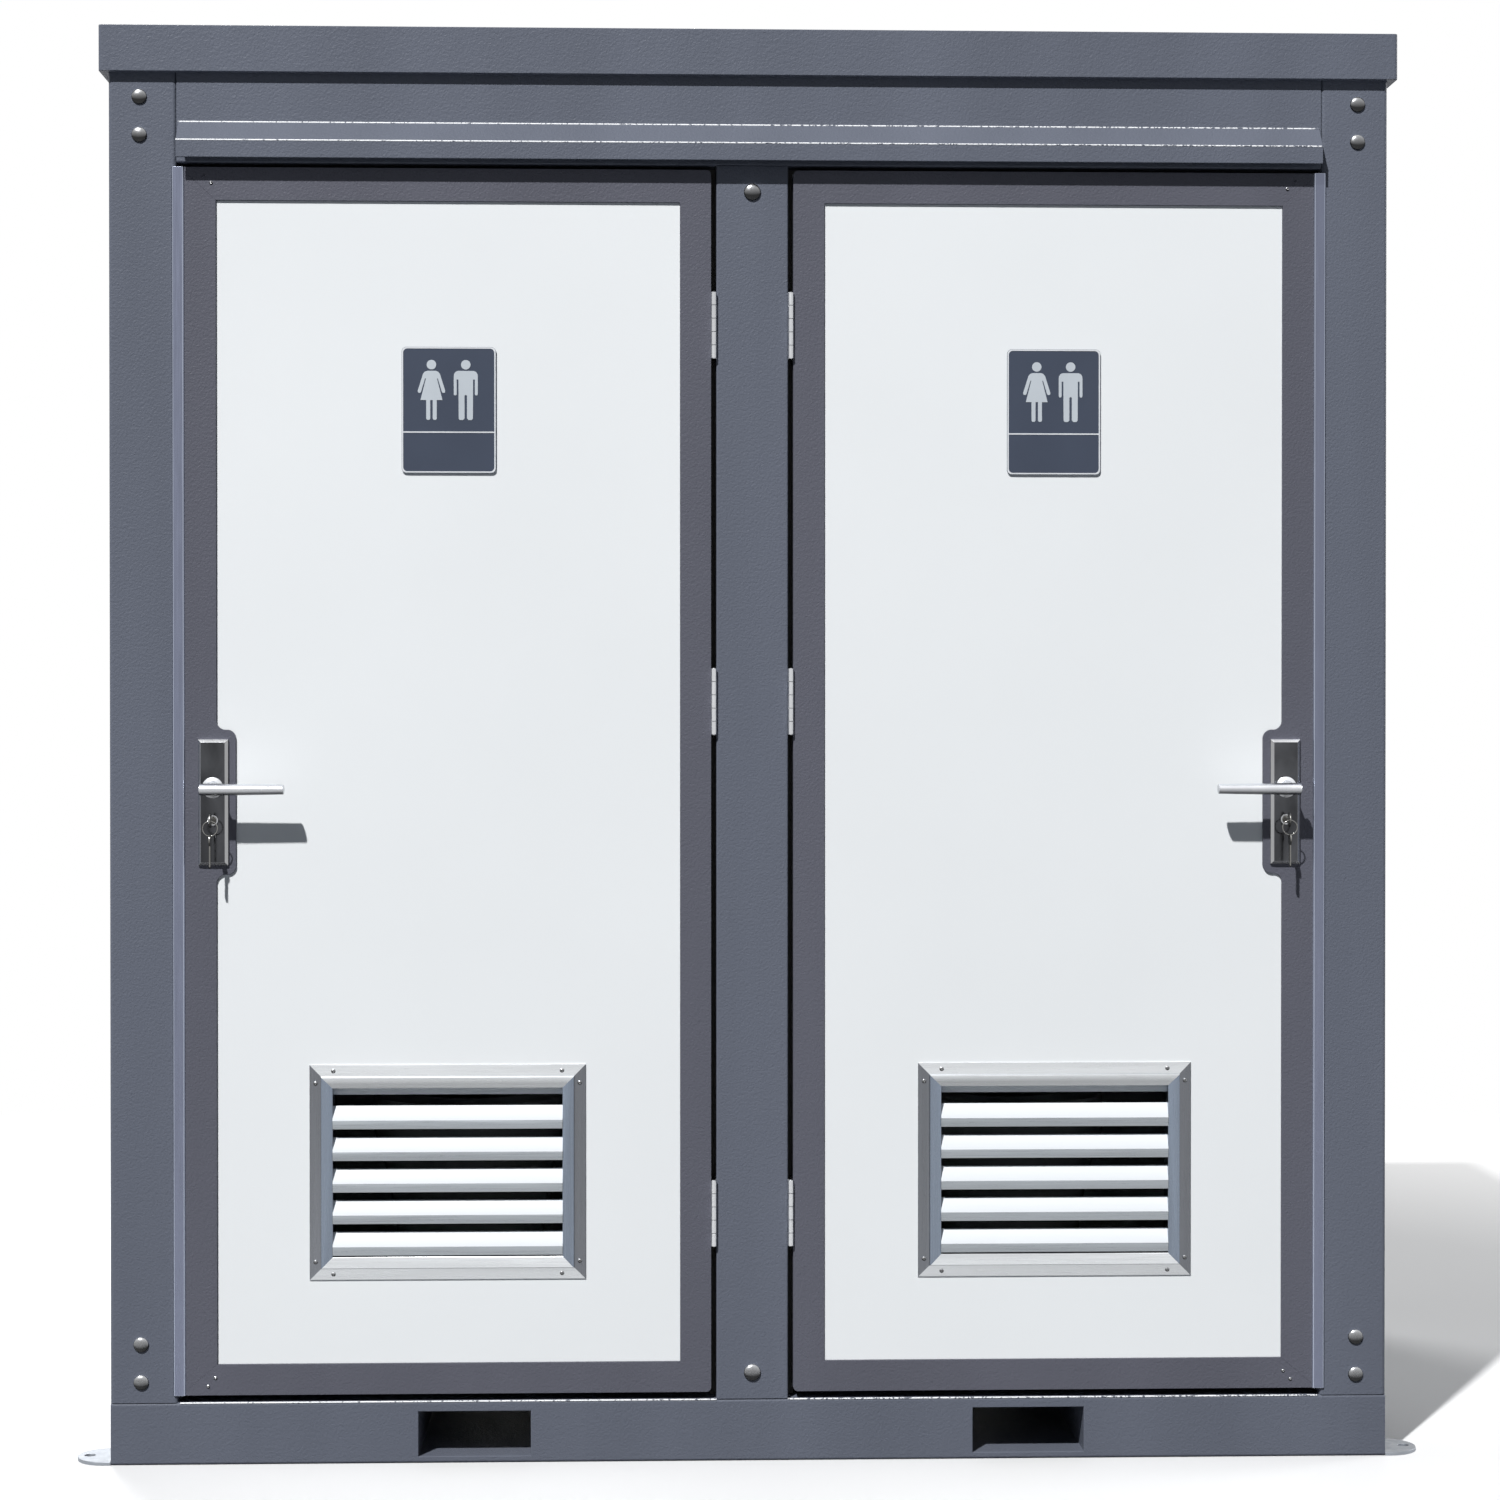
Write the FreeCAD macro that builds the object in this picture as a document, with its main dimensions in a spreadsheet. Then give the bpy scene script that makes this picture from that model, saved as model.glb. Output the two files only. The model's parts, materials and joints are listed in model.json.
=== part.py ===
import FreeCAD
import Part
import Sketcher
import math
import os
from types import SimpleNamespace

# Double toilet cabin: two stalls side by side in one bolted steel frame, each with its own door.
# Millimetres. X runs to the right along the front, Y from the front to the back, and Z up.
# The origin is on the ground, midway between the four anchor holes. The front faces -Y.
# The right-hand door and stall are drawn, and the left-hand ones are their mirror images.

# Driving sizes
SIZES = {
    # Whole cabin
    "body_width": 2100,
    "body_depth": 1300,
    "overall_height": 2350,
    # Roof cap
    "roof_depth": 75,
    "roof_overhang": 14,
    "roof_sheet": 3,
    "roof_corner": 6,
    # Base frame of folded channels, with fork pockets and anchor lugs
    "base_height": 102,
    "base_flange": 60,
    "frame_sheet": 4,
    "fold_radius": 5,
    "pocket_centre": 456,
    "pocket_width": 184,
    "pocket_height": 74,
    "pocket_wall": 5,
    "joist_inner": 200,
    "joist_outer": 740,
    "joist_width": 40,
    "joist_height": 60,
    "joist_wall": 3,
    "floor_thickness": 12,
    "lug_width": 100,
    "lug_straight": 12,
    "lug_thickness": 6,
    "lug_hole_reach": 42,
    "lug_hole_radius": 9,
    # Posts, header, rails and drip rail
    "post_width": 110,
    "post_corner": 6,
    "centre_post_width": 118,
    "centre_post_depth": 80,
    "centre_post_corner": 3,
    "header_height": 221,
    "header_depth": 60,
    "rail_depth": 60,
    "rail_lap": 20,
    "drip_end_gap": 3,
    "drip_fall": 154,
    "drip_slope": 35,
    "drip_lip": 28,
    "drip_reach": 29,
    "drip_sheet": 3,
    "drip_leg": 50,
    # Sandwich panels
    "panel_thickness": 40,
    "panel_skin": 0.8,
    "panel_recess": 20,
    "ceiling_fall": 130,
    # Round-head bolts of the frame
    "bolt_radius": 12.5,
    "bolt_height": 6,
    "bolt_inset": 50,
    "bolt_rise": 34,
    "bolt_pitch": 62,
    "bolt_fall": 39,
    "centre_bolt_radius": 14,
    "centre_bolt_height": 7,
    "centre_bolt_rise": 44,
    "centre_bolt_fall": 43,
    # Door leaf
    "hinge_gap": 8.5,
    "latch_gap": 5,
    "door_gap_top": 7,
    "door_gap_bottom": 12,
    "door_proud": 0.5,
    "door_thickness": 40,
    "door_lining": 1,
    "door_sheet": 2,
    "door_corner": 8,
    "hinge_stile": 51,
    "latch_stile": 59,
    "top_rail": 54,
    "bottom_rail": 50.5,
    "door_panel_recess": 4,
    "bulge_reach": 31.5,
    "bulge_height": 208,
    "bulge_shoulder": 29,
    # Overlap strip on the latch edge
    "strip_width": 20.3,
    "strip_lap": 7.6,
    "strip_thickness": 3,
    "strip_bevel": 2,
    # Hinges
    "hinge_rise": 295,
    "hinge_middle_fall": 872,
    "hinge_high_fall": 255,
    "hinge_height": 108.5,
    "hinge_leaf": 2.5,
    "hinge_leaf_depth": 34,
    "hinge_pin_radius": 2,
    "hinge_pin_clearance": 0.3,
    "knuckle_radius": 4.5,
    "knuckle_gap": 0.5,
    # Lock
    "backset": 54,
    "lever_height": 1109,
    "plate_drop": 24,
    "plate_width": 49,
    "plate_height": 206,
    "plate_thickness": 9,
    "plate_bevel": 5,
    "cylinder_drop": 53,
    "cylinder_radius": 8.5,
    "cylinder_proud": 2,
    "plug_radius": 6,
    "plug_length": 30,
    "plug_clearance": 0.25,
    "running_gap": 0.1,
    "spindle": 8,
    "follower_radius": 6.2,
    "case_depth": 84,
    "case_height": 190,
    "case_thickness": 17,
    "forend_height": 200,
    "forend_thickness": 2,
    "lever_stand_off": 45,
    "lever_length": 121,
    "lever_bend": 14,
    "lever_straight": 3,
    "neck_radius": 13.5,
    "lever_radius": 12,
    "tip_radius": 7,
    "bolt_channel_gap": 0.3,
    "latch_throw": 12,
    "latch_length": 38,
    "latch_width": 12,
    "latch_rise": 22,
    "dead_throw": 20,
    "dead_guide": 18,
    "dead_width": 8,
    "dead_rise": 24,
    "strike_thickness": 2,
    "strike_width": 26,
    "strike_gap": 2,
    "bow_radius": 12,
    "bow_thickness": 2.2,
    "bow_stand_off": 24,
    "bow_hole_radius": 2.6,
    "bow_hole_offset": 6,
    "key_stem_height": 8,
    "ring_radius": 12,
    "ring_wire": 1,
    "ring_play": 0.25,
    "spare_bow_radius": 10,
    "spare_blade_width": 8,
    "spare_blade_length": 40,
    # Weather louvre in the door, and the vent high in the back wall
    "louvre_centre_x": 499.5,
    "louvre_centre_z": 478,
    "louvre_width": 452,
    "louvre_height": 353,
    "louvre_flange": 20,
    "louvre_flange_thickness": 2.5,
    "louvre_frame": 18,
    "louvre_raise": 10,
    "louvre_gap": 0.5,
    "blade_pitch": 51.8,
    "blade_count": 5,
    "blade_slope": 27,
    "blade_lip": 15,
    "blade_reach": 30,
    "blade_set_back": 2,
    "blade_sheet": 1.6,
    "vent_width": 300,
    "vent_height": 150,
    "vent_fall": 160,
    "vent_blade_pitch": 38,
    "vent_blade_count": 2,
    "vent_blade_slope": 20,
    "vent_blade_lip": 9,
    # Sign plate
    "sign_centre_x": 497,
    "sign_fall": 341,
    "sign_width": 154,
    "sign_height": 206,
    "sign_thickness": 4,
    "sign_corner": 7.5,
    # Door seal
    "seal_width": 10,
    "seal_thickness": 12,
    "seal_gap": 0.3,
    # Toilet pan, seat, cistern and pipes
    "rim_height": 400,
    "rim_length": 460,
    "rim_width": 360,
    "rim_back": 230,
    "bowl_wall": 42,
    "bowl_ledge": 85,
    "bowl_depth": 215,
    "bowl_well_radius": 80,
    "pan_wall": 16,
    "seat_thickness": 18,
    "seat_gap": 0.3,
    "seat_opening_length": 270,
    "seat_opening_width": 220,
    "seat_hinge_reach": 12,
    "seat_hinge_rise": 11,
    "seat_hinge_spacing": 150,
    "seat_knuckle_radius": 8,
    "seat_knuckle_length": 30,
    "seat_pin_radius": 4,
    "seat_pin_clearance": 0.4,
    "seat_post_width": 18,
    "seat_post_gap": 1,
    "cistern_width": 380,
    "cistern_depth": 146,
    "cistern_height": 330,
    "cistern_wall": 9,
    "cistern_corner": 18,
    "cistern_lid": 14,
    "cistern_lid_lap": 3,
    "button_radius": 20,
    "button_gap": 0.5,
    "button_height": 16,
    "button_proud": 5,
    "drain_height": 180,
    "drain_radius": 55,
    "drain_wall": 3.2,
    "drain_collar": 70,
    "collar_thickness": 6,
    "drain_reach": 60,
    "pipe_clearance": 1,
    "inlet_offset": 120,
    "inlet_height": 770,
    "inlet_radius": 10.5,
    "inlet_bore": 7.5,
    "inlet_collar": 16,
    "inlet_reach": 40,
    # Ceiling light
    "light_width": 240,
    "light_base": 14,
    "light_lens_radius": 108,
    "light_drop": 46,
}

doc = FreeCAD.newDocument("toilet_cabin")
sheet = doc.addObject("Spreadsheet::Sheet", "sizes")
for row, (size_name, size_value) in enumerate(SIZES.items(), start=1):
    sheet.set(f"A{row}", size_name)
    sheet.set(f"B{row}", str(size_value))
    sheet.setAlias(f"B{row}", size_name)
doc.recompute()


# Formulas on the sheet
class Size:
    """A formula of the sheet's cells. What is bound to it follows the sheet."""

    def __init__(self, text):
        self.text = str(text)

    def __add__(self, other):
        return Size(f"({self} + {other})")

    def __radd__(self, other):
        return Size(f"({other} + {self})")

    def __sub__(self, other):
        return Size(f"({self} - {other})")

    def __rsub__(self, other):
        return Size(f"({other} - {self})")

    def __mul__(self, other):
        return Size(f"({self} * {other})")

    def __rmul__(self, other):
        return Size(f"({other} * {self})")

    def __truediv__(self, other):
        return Size(f"({self} / {other})")

    def __neg__(self):
        return Size(f"(0 - {self})")

    def __str__(self):
        return self.text


def root_of(size):
    return Size(f"sqrt({size})")


def number(size):
    """The present value of a formula, for the first guess that a sketch needs."""
    return float(sheet.evalExpression(str(size)))


s = SimpleNamespace(**{size_name: Size(f"sizes.{size_name}") for size_name in SIZES})

# Sides of what is round on the real cabin, small or repeated, and drawn with flat sides
HEAD_SIDES = 8
KNUCKLE_SIDES = 8
LOCK_SIDES = 16
EYE_SIDES = 8
PIPE_SIDES = 10
DISC_SIDES = 16
HALF_ROUND_STEPS = 12

# Planes and lines that several pieces share
side = s.body_width / 2
rear = s.body_depth / 2
front = -rear
base_top = s.base_height
floor_under = base_top - s.floor_thickness
roof_bottom = s.overall_height - s.roof_depth
roof_under = s.overall_height - s.roof_sheet
header_bottom = s.overall_height - s.header_height
wall_top = s.overall_height - s.ceiling_fall
drip_top = s.overall_height - s.drip_fall
drip_fold = drip_top - s.drip_slope
drip_bottom = drip_fold - s.drip_lip
post_inner = side - s.post_width
post_back = rear - s.post_width
centre_side = s.centre_post_width / 2
wall_out_x = side - s.panel_recess
wall_in_x = wall_out_x - s.panel_thickness
wall_out_y = rear - s.panel_recess
wall_in_y = wall_out_y - s.panel_thickness
stall_x = (s.panel_thickness / 2 + wall_in_x) / 2

leaf_hinge = centre_side + s.hinge_gap
leaf_latch = post_inner - s.latch_gap
leaf_front = front - s.door_proud
leaf_back = leaf_front + s.door_thickness
leaf_middle = (leaf_front + leaf_back) / 2
lining_front = leaf_back - s.door_lining
leaf_bottom = base_top + s.door_gap_bottom
leaf_top = header_bottom - s.door_gap_top
panel_hinge = leaf_hinge + s.hinge_stile
panel_latch = leaf_latch - s.latch_stile
panel_bottom = leaf_bottom + s.bottom_rail
panel_top = leaf_top - s.top_rail
panel_face = leaf_front + s.door_panel_recess
lock_x = leaf_latch - s.backset
plate_face = leaf_front - s.plate_thickness
plate_middle = s.lever_height - s.plate_drop
cylinder_height = s.lever_height - s.cylinder_drop
hinge_x = centre_side + s.hinge_gap / 2
hinge_y = front - s.knuckle_radius - s.door_proud


# Ways of drawing a piece
def bind(piece, **formulas):
    """Tie properties of a piece to formulas."""
    for name, formula in formulas.items():
        piece.setExpression(name, str(formula))


def place(piece, x=0, y=0, z=0):
    for axis, formula in zip("xyz", (x, y, z)):
        piece.setExpression(f"Placement.Base.{axis}", str(formula))


def rectangle(low_x, low_y, high_x, high_y):
    return [(low_x, low_y), (high_x, low_y), (high_x, high_y), (low_x, high_y)]


def centred(middle_x, middle_y, width, height):
    return rectangle(middle_x - width / 2, middle_y - height / 2,
                     middle_x + width / 2, middle_y + height / 2)


def many_cornered(x, y, radius, sides):
    """The corners of a small round hole or disc with flat sides."""
    turns = [math.radians(360 * turn / sides) for turn in range(sides)]
    return [(x + radius * round(math.cos(turn), 6), y + radius * round(math.sin(turn), 6))
            for turn in turns]


def half_round(x, y, radius, start):
    """The points of a round end, anticlockwise through half a turn from a direction in degrees."""
    turns = [math.radians(start + 180 * step / HALF_ROUND_STEPS) for step in range(HALF_ROUND_STEPS + 1)]
    return [(x + radius * round(math.cos(turn), 6), y + radius * round(math.sin(turn), 6))
            for turn in turns]


def draw_circle(sketch, x, y, radius):
    guess = FreeCAD.Vector(number(x), number(y), 0)
    at = sketch.addGeometry(Part.Circle(guess, FreeCAD.Vector(0, 0, 1), number(radius)))
    for kind, formula in (("DistanceX", x), ("DistanceY", y)):
        held = sketch.addConstraint(Sketcher.Constraint(kind, -1, 1, at, 3, number(formula)))
        sketch.setExpression(f"Constraints[{held}]", str(formula))
    held = sketch.addConstraint(Sketcher.Constraint("Radius", at, number(radius)))
    sketch.setExpression(f"Constraints[{held}]", str(radius))


def arc_between(start, end, radius, turn):
    """The shorter arc from start to end that turns left or right."""
    chord = end - start
    reach = math.sqrt(max(radius ** 2 - (chord.Length / 2) ** 2, 0))
    left = FreeCAD.Vector(-chord.y, chord.x, 0).normalize()
    centre = (start + end) / 2 + left * (reach if turn == "left" else -reach)
    first, last = (start, end) if turn == "left" else (end, start)
    circle = Part.Circle(centre, FreeCAD.Vector(0, 0, 1), radius)
    return Part.ArcOfCircle(circle, circle.parameter(first), circle.parameter(last))


def draw_loop(sketch, corners):
    """A closed loop. A corner with a radius and a turn is reached by an arc."""
    points = [FreeCAD.Vector(number(corner[0]), number(corner[1]), 0) for corner in corners]
    starts = []
    ends = []
    for index, corner in enumerate(corners):
        begin, end = points[index - 1], points[index]
        if len(corner) == 2:
            at = sketch.addGeometry(Part.LineSegment(begin, end))
            starts.append((at, 1))
            ends.append((at, 2))
            continue
        at = sketch.addGeometry(arc_between(begin, end, number(corner[2]), corner[3]))
        turned_left = corner[3] == "left"
        starts.append((at, 1 if turned_left else 2))
        ends.append((at, 2 if turned_left else 1))
    for index, corner in enumerate(corners):
        onward = starts[(index + 1) % len(corners)]
        sketch.addConstraint(Sketcher.Constraint("Coincident", *ends[index], *onward))
        for kind, formula in zip(("DistanceX", "DistanceY"), corner[:2]):
            held = sketch.addConstraint(Sketcher.Constraint(kind, -1, 1, *ends[index], number(formula)))
            sketch.setExpression(f"Constraints[{held}]", str(formula))
        if len(corner) > 2:
            held = sketch.addConstraint(Sketcher.Constraint("Radius", ends[index][0], number(corner[2])))
            sketch.setExpression(f"Constraints[{held}]", str(corner[2]))


def draw_path(sketch, points):
    """Straight lines from point to point, left open."""
    for index, (x, y) in enumerate(points):
        if index == 0:
            continue
        begin, end = (FreeCAD.Vector(number(u), number(v), 0) for u, v in points[index - 1:index + 1])
        at = sketch.addGeometry(Part.LineSegment(begin, end))
        ends = [(1, points[0])] if index == 1 else []
        for spot, place in ends + [(2, (x, y))]:
            for kind, formula in zip(("DistanceX", "DistanceY"), place):
                held = sketch.addConstraint(Sketcher.Constraint(kind, -1, 1, at, spot, number(formula)))
                sketch.setExpression(f"Constraints[{held}]", str(formula))
        if index > 1:
            sketch.addConstraint(Sketcher.Constraint("Coincident", at - 1, 2, at, 1))


# Seen from above, from the front and from the right. Depth runs up, to the back and to the right.
PLANES = {"top": "XY_Plane", "front": "XZ_Plane", "side": "YZ_Plane"}


def sketch_at(body, name, view, low, high, loops):
    """A sketch across a body's depth from low to high. A loop is corners, or a circle's x, y and r."""
    sketch = body.newObject("Sketcher::SketchObject", name)
    role = PLANES[view]
    origin_plane = next(part for part in body.Origin.OriginFeatures if part.Role == role)
    sketch.AttachmentSupport = (origin_plane, "")
    sketch.MapMode = "FlatFace"
    offset = -high if view == "front" else low
    sketch.setExpression("AttachmentOffset.Base.z", str(offset))
    for loop in loops:
        if isinstance(loop, list):
            draw_loop(sketch, loop)
        else:
            draw_circle(sketch, *loop)
    return sketch


def add_pad(body, name, view, low, high, *loops):
    sketch = sketch_at(body, f"{name}_sketch", view, low, high, loops)
    pad = body.newObject("PartDesign::Pad", name)
    pad.Profile = sketch
    bind(pad, Length=high - low)
    doc.recompute()
    return pad


def add_pocket(body, name, view, low, high, *loops):
    before = body.Shape.Volume
    sketch = sketch_at(body, f"{name}_sketch", view, low, high, loops)
    pocket = body.newObject("PartDesign::Pocket", name)
    pocket.Profile = sketch
    pocket.Reversed = True
    bind(pocket, Length=high - low)
    doc.recompute()
    if not body.Shape.Volume < before:
        raise ValueError(f"{name} cuts nothing")
    return pocket


def padded(name, view, low, high, *loops):
    body = doc.addObject("PartDesign::Body", name)
    add_pad(body, f"{name}_pad", view, low, high, *loops)
    return body


def edges_along(body, direction, *spots):
    """Names of a body's straight edges along one axis that pass a spot in the other two."""
    names = []
    others = [axis for axis in "xyz" if axis != direction]
    for index, edge in enumerate(body.Tip.Shape.Edges, start=1):
        first, last = edge.Vertexes[0].Point, edge.Vertexes[-1].Point
        if abs(getattr(first - last, direction)) < 0.99 * edge.Length:
            continue
        at = [getattr(first, axis) for axis in others]
        if any(abs(at[0] - number(u)) + abs(at[1] - number(v)) < 0.01 for u, v in spots):
            names.append(f"Edge{index}")
    return names


def round_edges(body, name, radius, direction, *spots):
    chosen = edges_along(body, direction, *spots)
    last = body.Tip
    fillet = body.newObject("PartDesign::Fillet", name)
    fillet.Base = (last, chosen)
    bind(fillet, Radius=radius)
    doc.recompute()


def hollow(body, name, wall, open_side):
    """Leave a wall inside the faces, open on the side that lies furthest along an axis."""
    last = body.Tip
    sign, axis = open_side
    faces = enumerate(last.Shape.Faces, start=1)
    reach = {f"Face{index}": float(f"{sign}1") * getattr(face.CenterOfMass, axis) for index, face in faces
             if abs(abs(getattr(face.normalAt(0, 0), axis)) - 1) < 0.001}
    shell = body.newObject("PartDesign::Thickness", name)
    shell.Base = (last, [max(reach, key=reach.get)])
    shell.Reversed = True
    shell.Join = "Intersection"
    bind(shell, Value=wall)
    doc.recompute()


def sandwich(name, view, low, high, *loops):
    """A panel of thin skins, closed all round, about a light core that isn't drawn."""
    body = padded(name, view, low, high - s.panel_skin, *loops)
    hollow(body, f"{name}_core", s.panel_skin, {"top": "+z", "front": "+y", "side": "+x"}[view])
    add_pad(body, f"{name}_back_skin", view, high - s.panel_skin, high, *loops)
    return body


def block(name, x, y, z):
    """A plain block between two corners, each of x, y and z a low and a high value."""
    piece = doc.addObject("Part::Box", name)
    bind(piece, Length=x[1] - x[0], Width=y[1] - y[0], Height=z[1] - z[0])
    place(piece, x[0], y[0], z[0])
    return piece


TURNS = {
    "+x": FreeCAD.Rotation(FreeCAD.Vector(0, 1, 0), 90),
    "-x": FreeCAD.Rotation(FreeCAD.Vector(0, 1, 0), -90),
    "+y": FreeCAD.Rotation(FreeCAD.Vector(1, 0, 0), -90),
    "-y": FreeCAD.Rotation(FreeCAD.Vector(1, 0, 0), 90),
    "+z": FreeCAD.Rotation(),
    "-z": FreeCAD.Rotation(FreeCAD.Vector(1, 0, 0), 180),
}


def turned(kind, name, direction, x, y, z, **formulas):
    """A round primitive that points in a direction from a place."""
    piece = doc.addObject(kind, name)
    piece.Placement.Rotation = TURNS[direction]
    bind(piece, **formulas)
    place(piece, x, y, z)
    return piece


def rod(name, direction, x, y, z, radius, length):
    return turned("Part::Cylinder", name, direction, x, y, z, Radius=radius, Height=length)


def many_sided(name, direction, x, y, z, sides, radius, length):
    """A rod with flat sides, for small round pieces that repeat."""
    piece = turned("Part::Prism", name, direction, x, y, z, Circumradius=radius, Height=length)
    piece.Polygon = sides
    return piece


def cut(name, piece, *tools):
    tool = tools[0] if len(tools) == 1 else together(f"{name}_tools", *tools)
    result = doc.addObject("Part::Cut", name)
    result.Base = piece
    result.Tool = tool
    return result


def fused(name, *pieces):
    result = doc.addObject("Part::MultiFuse", name)
    result.Shapes = list(pieces)
    return result


def together(name, *pieces):
    result = doc.addObject("Part::Compound", name)
    result.Links = list(pieces)
    return result


def mirrored(name, source, normal=(1, 0, 0), at=None):
    """The mirror image across the middle plane, or across a plane at a place along Y."""
    result = doc.addObject("Part::Mirroring", name)
    result.Source = source
    result.Normal = FreeCAD.Vector(*normal)
    if at is not None:
        result.setExpression("Base.y", str(at))
    return result


NODES = []


def node(piece):
    """Count a finished piece as a sub-part of its own, under its label."""
    NODES.append(piece)
    return piece


def both(name, piece):
    """The right-hand piece and its mirror image, as one sub-part."""
    return node(together(name, piece, mirrored(f"{name}_left", piece)))


def each_side(piece):
    """The right-hand piece and its mirror image, as sub-parts called right and left."""
    node(piece)
    return node(mirrored(piece.Label.replace("right_", "left_", 1), piece))


# Base frame: channels with closed ends, fork pockets, joists, floor and anchor lugs
def channel(edge, web_out, low, high, depth, wall):
    """Corners of a channel whose web stands on edge and whose flanges reach inwards by depth."""
    lip = edge - web_out * depth
    web_in = edge - web_out * wall
    return [(edge, low), (edge, high), (lip, high), (lip, high - wall),
            (web_in, high - wall), (web_in, low + wall), (lip, low + wall), (lip, low)]


def fork_opening(mirror=1):
    top = floor_under - s.pocket_wall
    return centred(mirror * s.pocket_centre, top - s.pocket_height / 2, s.pocket_width, s.pocket_height)


def make_base():
    web_back = front + s.frame_sheet
    flange_end = front + s.base_flange
    beam = padded("base_front_beam", "side", -side, side,
                  channel(front, -1, 0, base_top, s.base_flange, s.frame_sheet))
    end_plate = rectangle(web_back, s.frame_sheet, flange_end, base_top - s.frame_sheet)
    for name, low, high in (("right_end", side - s.frame_sheet, side),
                            ("left_end", -side, s.frame_sheet - side)):
        add_pad(beam, f"base_{name}", "side", low, high, end_plate)
    round_edges(beam, "base_front_folds", s.fold_radius, "x", (front, base_top), (front, 0))
    add_pocket(beam, "base_fork_cut", "front", front, web_back, fork_opening(), fork_opening(-1))
    node(beam)
    node(mirrored("base_rear_beam", beam, (0, 1, 0)))

    side_beam = padded("base_side_right", "front", -rear + s.base_flange, rear - s.base_flange,
                       channel(side, 1, 0, base_top, s.base_flange, s.frame_sheet))
    round_edges(side_beam, "base_side_folds", s.fold_radius, "y", (side, base_top), (side, 0))
    both("base_side_beams", side_beam)

    around = centred(s.pocket_centre, floor_under - s.pocket_wall - s.pocket_height / 2,
                     s.pocket_width + 2 * s.pocket_wall, s.pocket_height + 2 * s.pocket_wall)
    both("fork_pockets", padded("fork_pocket_right", "front", web_back, -web_back, around, fork_opening()))

    joists = []
    for label, middle in (("inner", s.joist_inner), ("outer", s.joist_outer)):
        joist_middle = floor_under - s.joist_height / 2
        outside = centred(middle, joist_middle, s.joist_width, s.joist_height)
        inside = centred(middle, joist_middle, s.joist_width - 2 * s.joist_wall,
                         s.joist_height - 2 * s.joist_wall)
        joist = padded(f"joist_{label}", "front", web_back, -web_back, outside, inside)
        joists += [joist, mirrored(f"joist_{label}_left", joist)]
    node(together("floor_joists", *joists))

    half_x = side - s.base_flange
    half_y = rear - s.base_flange
    node(block("floor_panel", (-half_x, half_x), (-half_y, half_y), (floor_under, base_top)))

    lug_y = front + s.lug_width / 2
    half = s.lug_width / 2
    shape = [(side, lug_y + half), (side, lug_y - half)]
    shape += half_round(side + s.lug_straight, lug_y, half, -90)
    lug = padded("lug_front_right", "top", Size(0), s.lug_thickness, shape,
                 (side + s.lug_hole_reach, lug_y, s.lug_hole_radius))
    lug_left = mirrored("lug_front_left", lug)
    rear_lugs = [mirrored(f"{piece.Name}_rear", piece, (0, 1, 0)) for piece in (lug, lug_left)]
    node(together("anchor_lugs", lug, lug_left, *rear_lugs))


# Posts, header, top rails, drip rail and roof cap
def tube(name, view, low, high, box, wall, corner):
    """A closed tube. Box is its outer low and high corner across the view."""
    low_u, low_v, high_u, high_v = box
    body = padded(name, view, low, high, rectangle(*box),
                  rectangle(low_u + wall, low_v + wall, high_u - wall, high_v - wall))
    along = {"top": "z", "front": "y", "side": "x"}[view]
    round_edges(body, f"{name}_corners", corner, along,
                (low_u, low_v), (high_u, low_v), (low_u, high_v), (high_u, high_v))
    return body


def bolt_hole(height, rise, thickness):
    """The opening that a lock's bolt enters in the post and its strike plate."""
    gap = 2 * s.strike_gap
    return centred(leaf_middle, height, thickness + gap, rise + gap)


def strike_holes():
    return [bolt_hole(s.lever_height, s.latch_rise, s.latch_width),
            bolt_hole(cylinder_height, s.dead_rise, s.dead_width)]


def make_posts():
    front_post = tube("front_post_right", "top", base_top, roof_under,
                      (post_inner, front, side, -post_back), s.frame_sheet, s.post_corner)
    add_pocket(front_post, "post_strike_cut", "side", post_inner, post_inner + s.frame_sheet,
               *strike_holes())
    rear_post = tube("rear_post_right", "top", base_top, roof_under,
                     (post_inner, post_back, side, rear), s.frame_sheet, s.post_corner)
    both("corner_posts", together("corner_posts_right", front_post, rear_post))
    node(tube("centre_post", "top", base_top, header_bottom,
              (-centre_side, front, centre_side, front + s.centre_post_depth),
              s.frame_sheet, s.centre_post_corner))
    node(tube("header_beam", "side", -post_inner, post_inner,
              (front, header_bottom, front + s.header_depth, roof_under),
              s.frame_sheet, s.centre_post_corner))


def top_rail_corners(edge, lap_end, end, bottom):
    """A folded rail: web on the outside, a flange under the roof and a lip over the panel's top."""
    web_in = edge - s.frame_sheet
    return [(edge, bottom), (edge, roof_under), (end, roof_under), (end, roof_under - s.frame_sheet),
            (web_in, roof_under - s.frame_sheet), (web_in, bottom + s.frame_sheet),
            (lap_end, bottom + s.frame_sheet), (lap_end, bottom)]


def make_rails():
    bottom = wall_top - s.rail_lap
    rail = padded("top_rail_right", "front", -post_back, post_back,
                  top_rail_corners(side, wall_out_x, side - s.rail_depth, bottom))
    back = padded("top_rail_rear", "side", -post_inner, post_inner,
                  top_rail_corners(rear, wall_out_y, rear - s.rail_depth, bottom))
    node(together("top_rails", rail, mirrored("top_rail_left", rail), back))

    slope = s.drip_slope / s.drip_reach
    upright = s.drip_sheet * root_of(1 + slope * slope)
    nose = front - s.drip_reach
    nose_in = nose + s.drip_sheet
    leg = front - s.drip_sheet
    end = post_inner - s.drip_end_gap
    node(padded("drip_rail", "side", -end, end, [
        (front, drip_top), (nose, drip_fold), (nose, drip_bottom), (nose_in, drip_bottom),
        (nose_in, drip_top - slope * (s.drip_reach - s.drip_sheet) - upright),
        (leg, drip_top - slope * s.drip_sheet - upright),
        (leg, drip_top - s.drip_leg), (front, drip_top - s.drip_leg)]))


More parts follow.
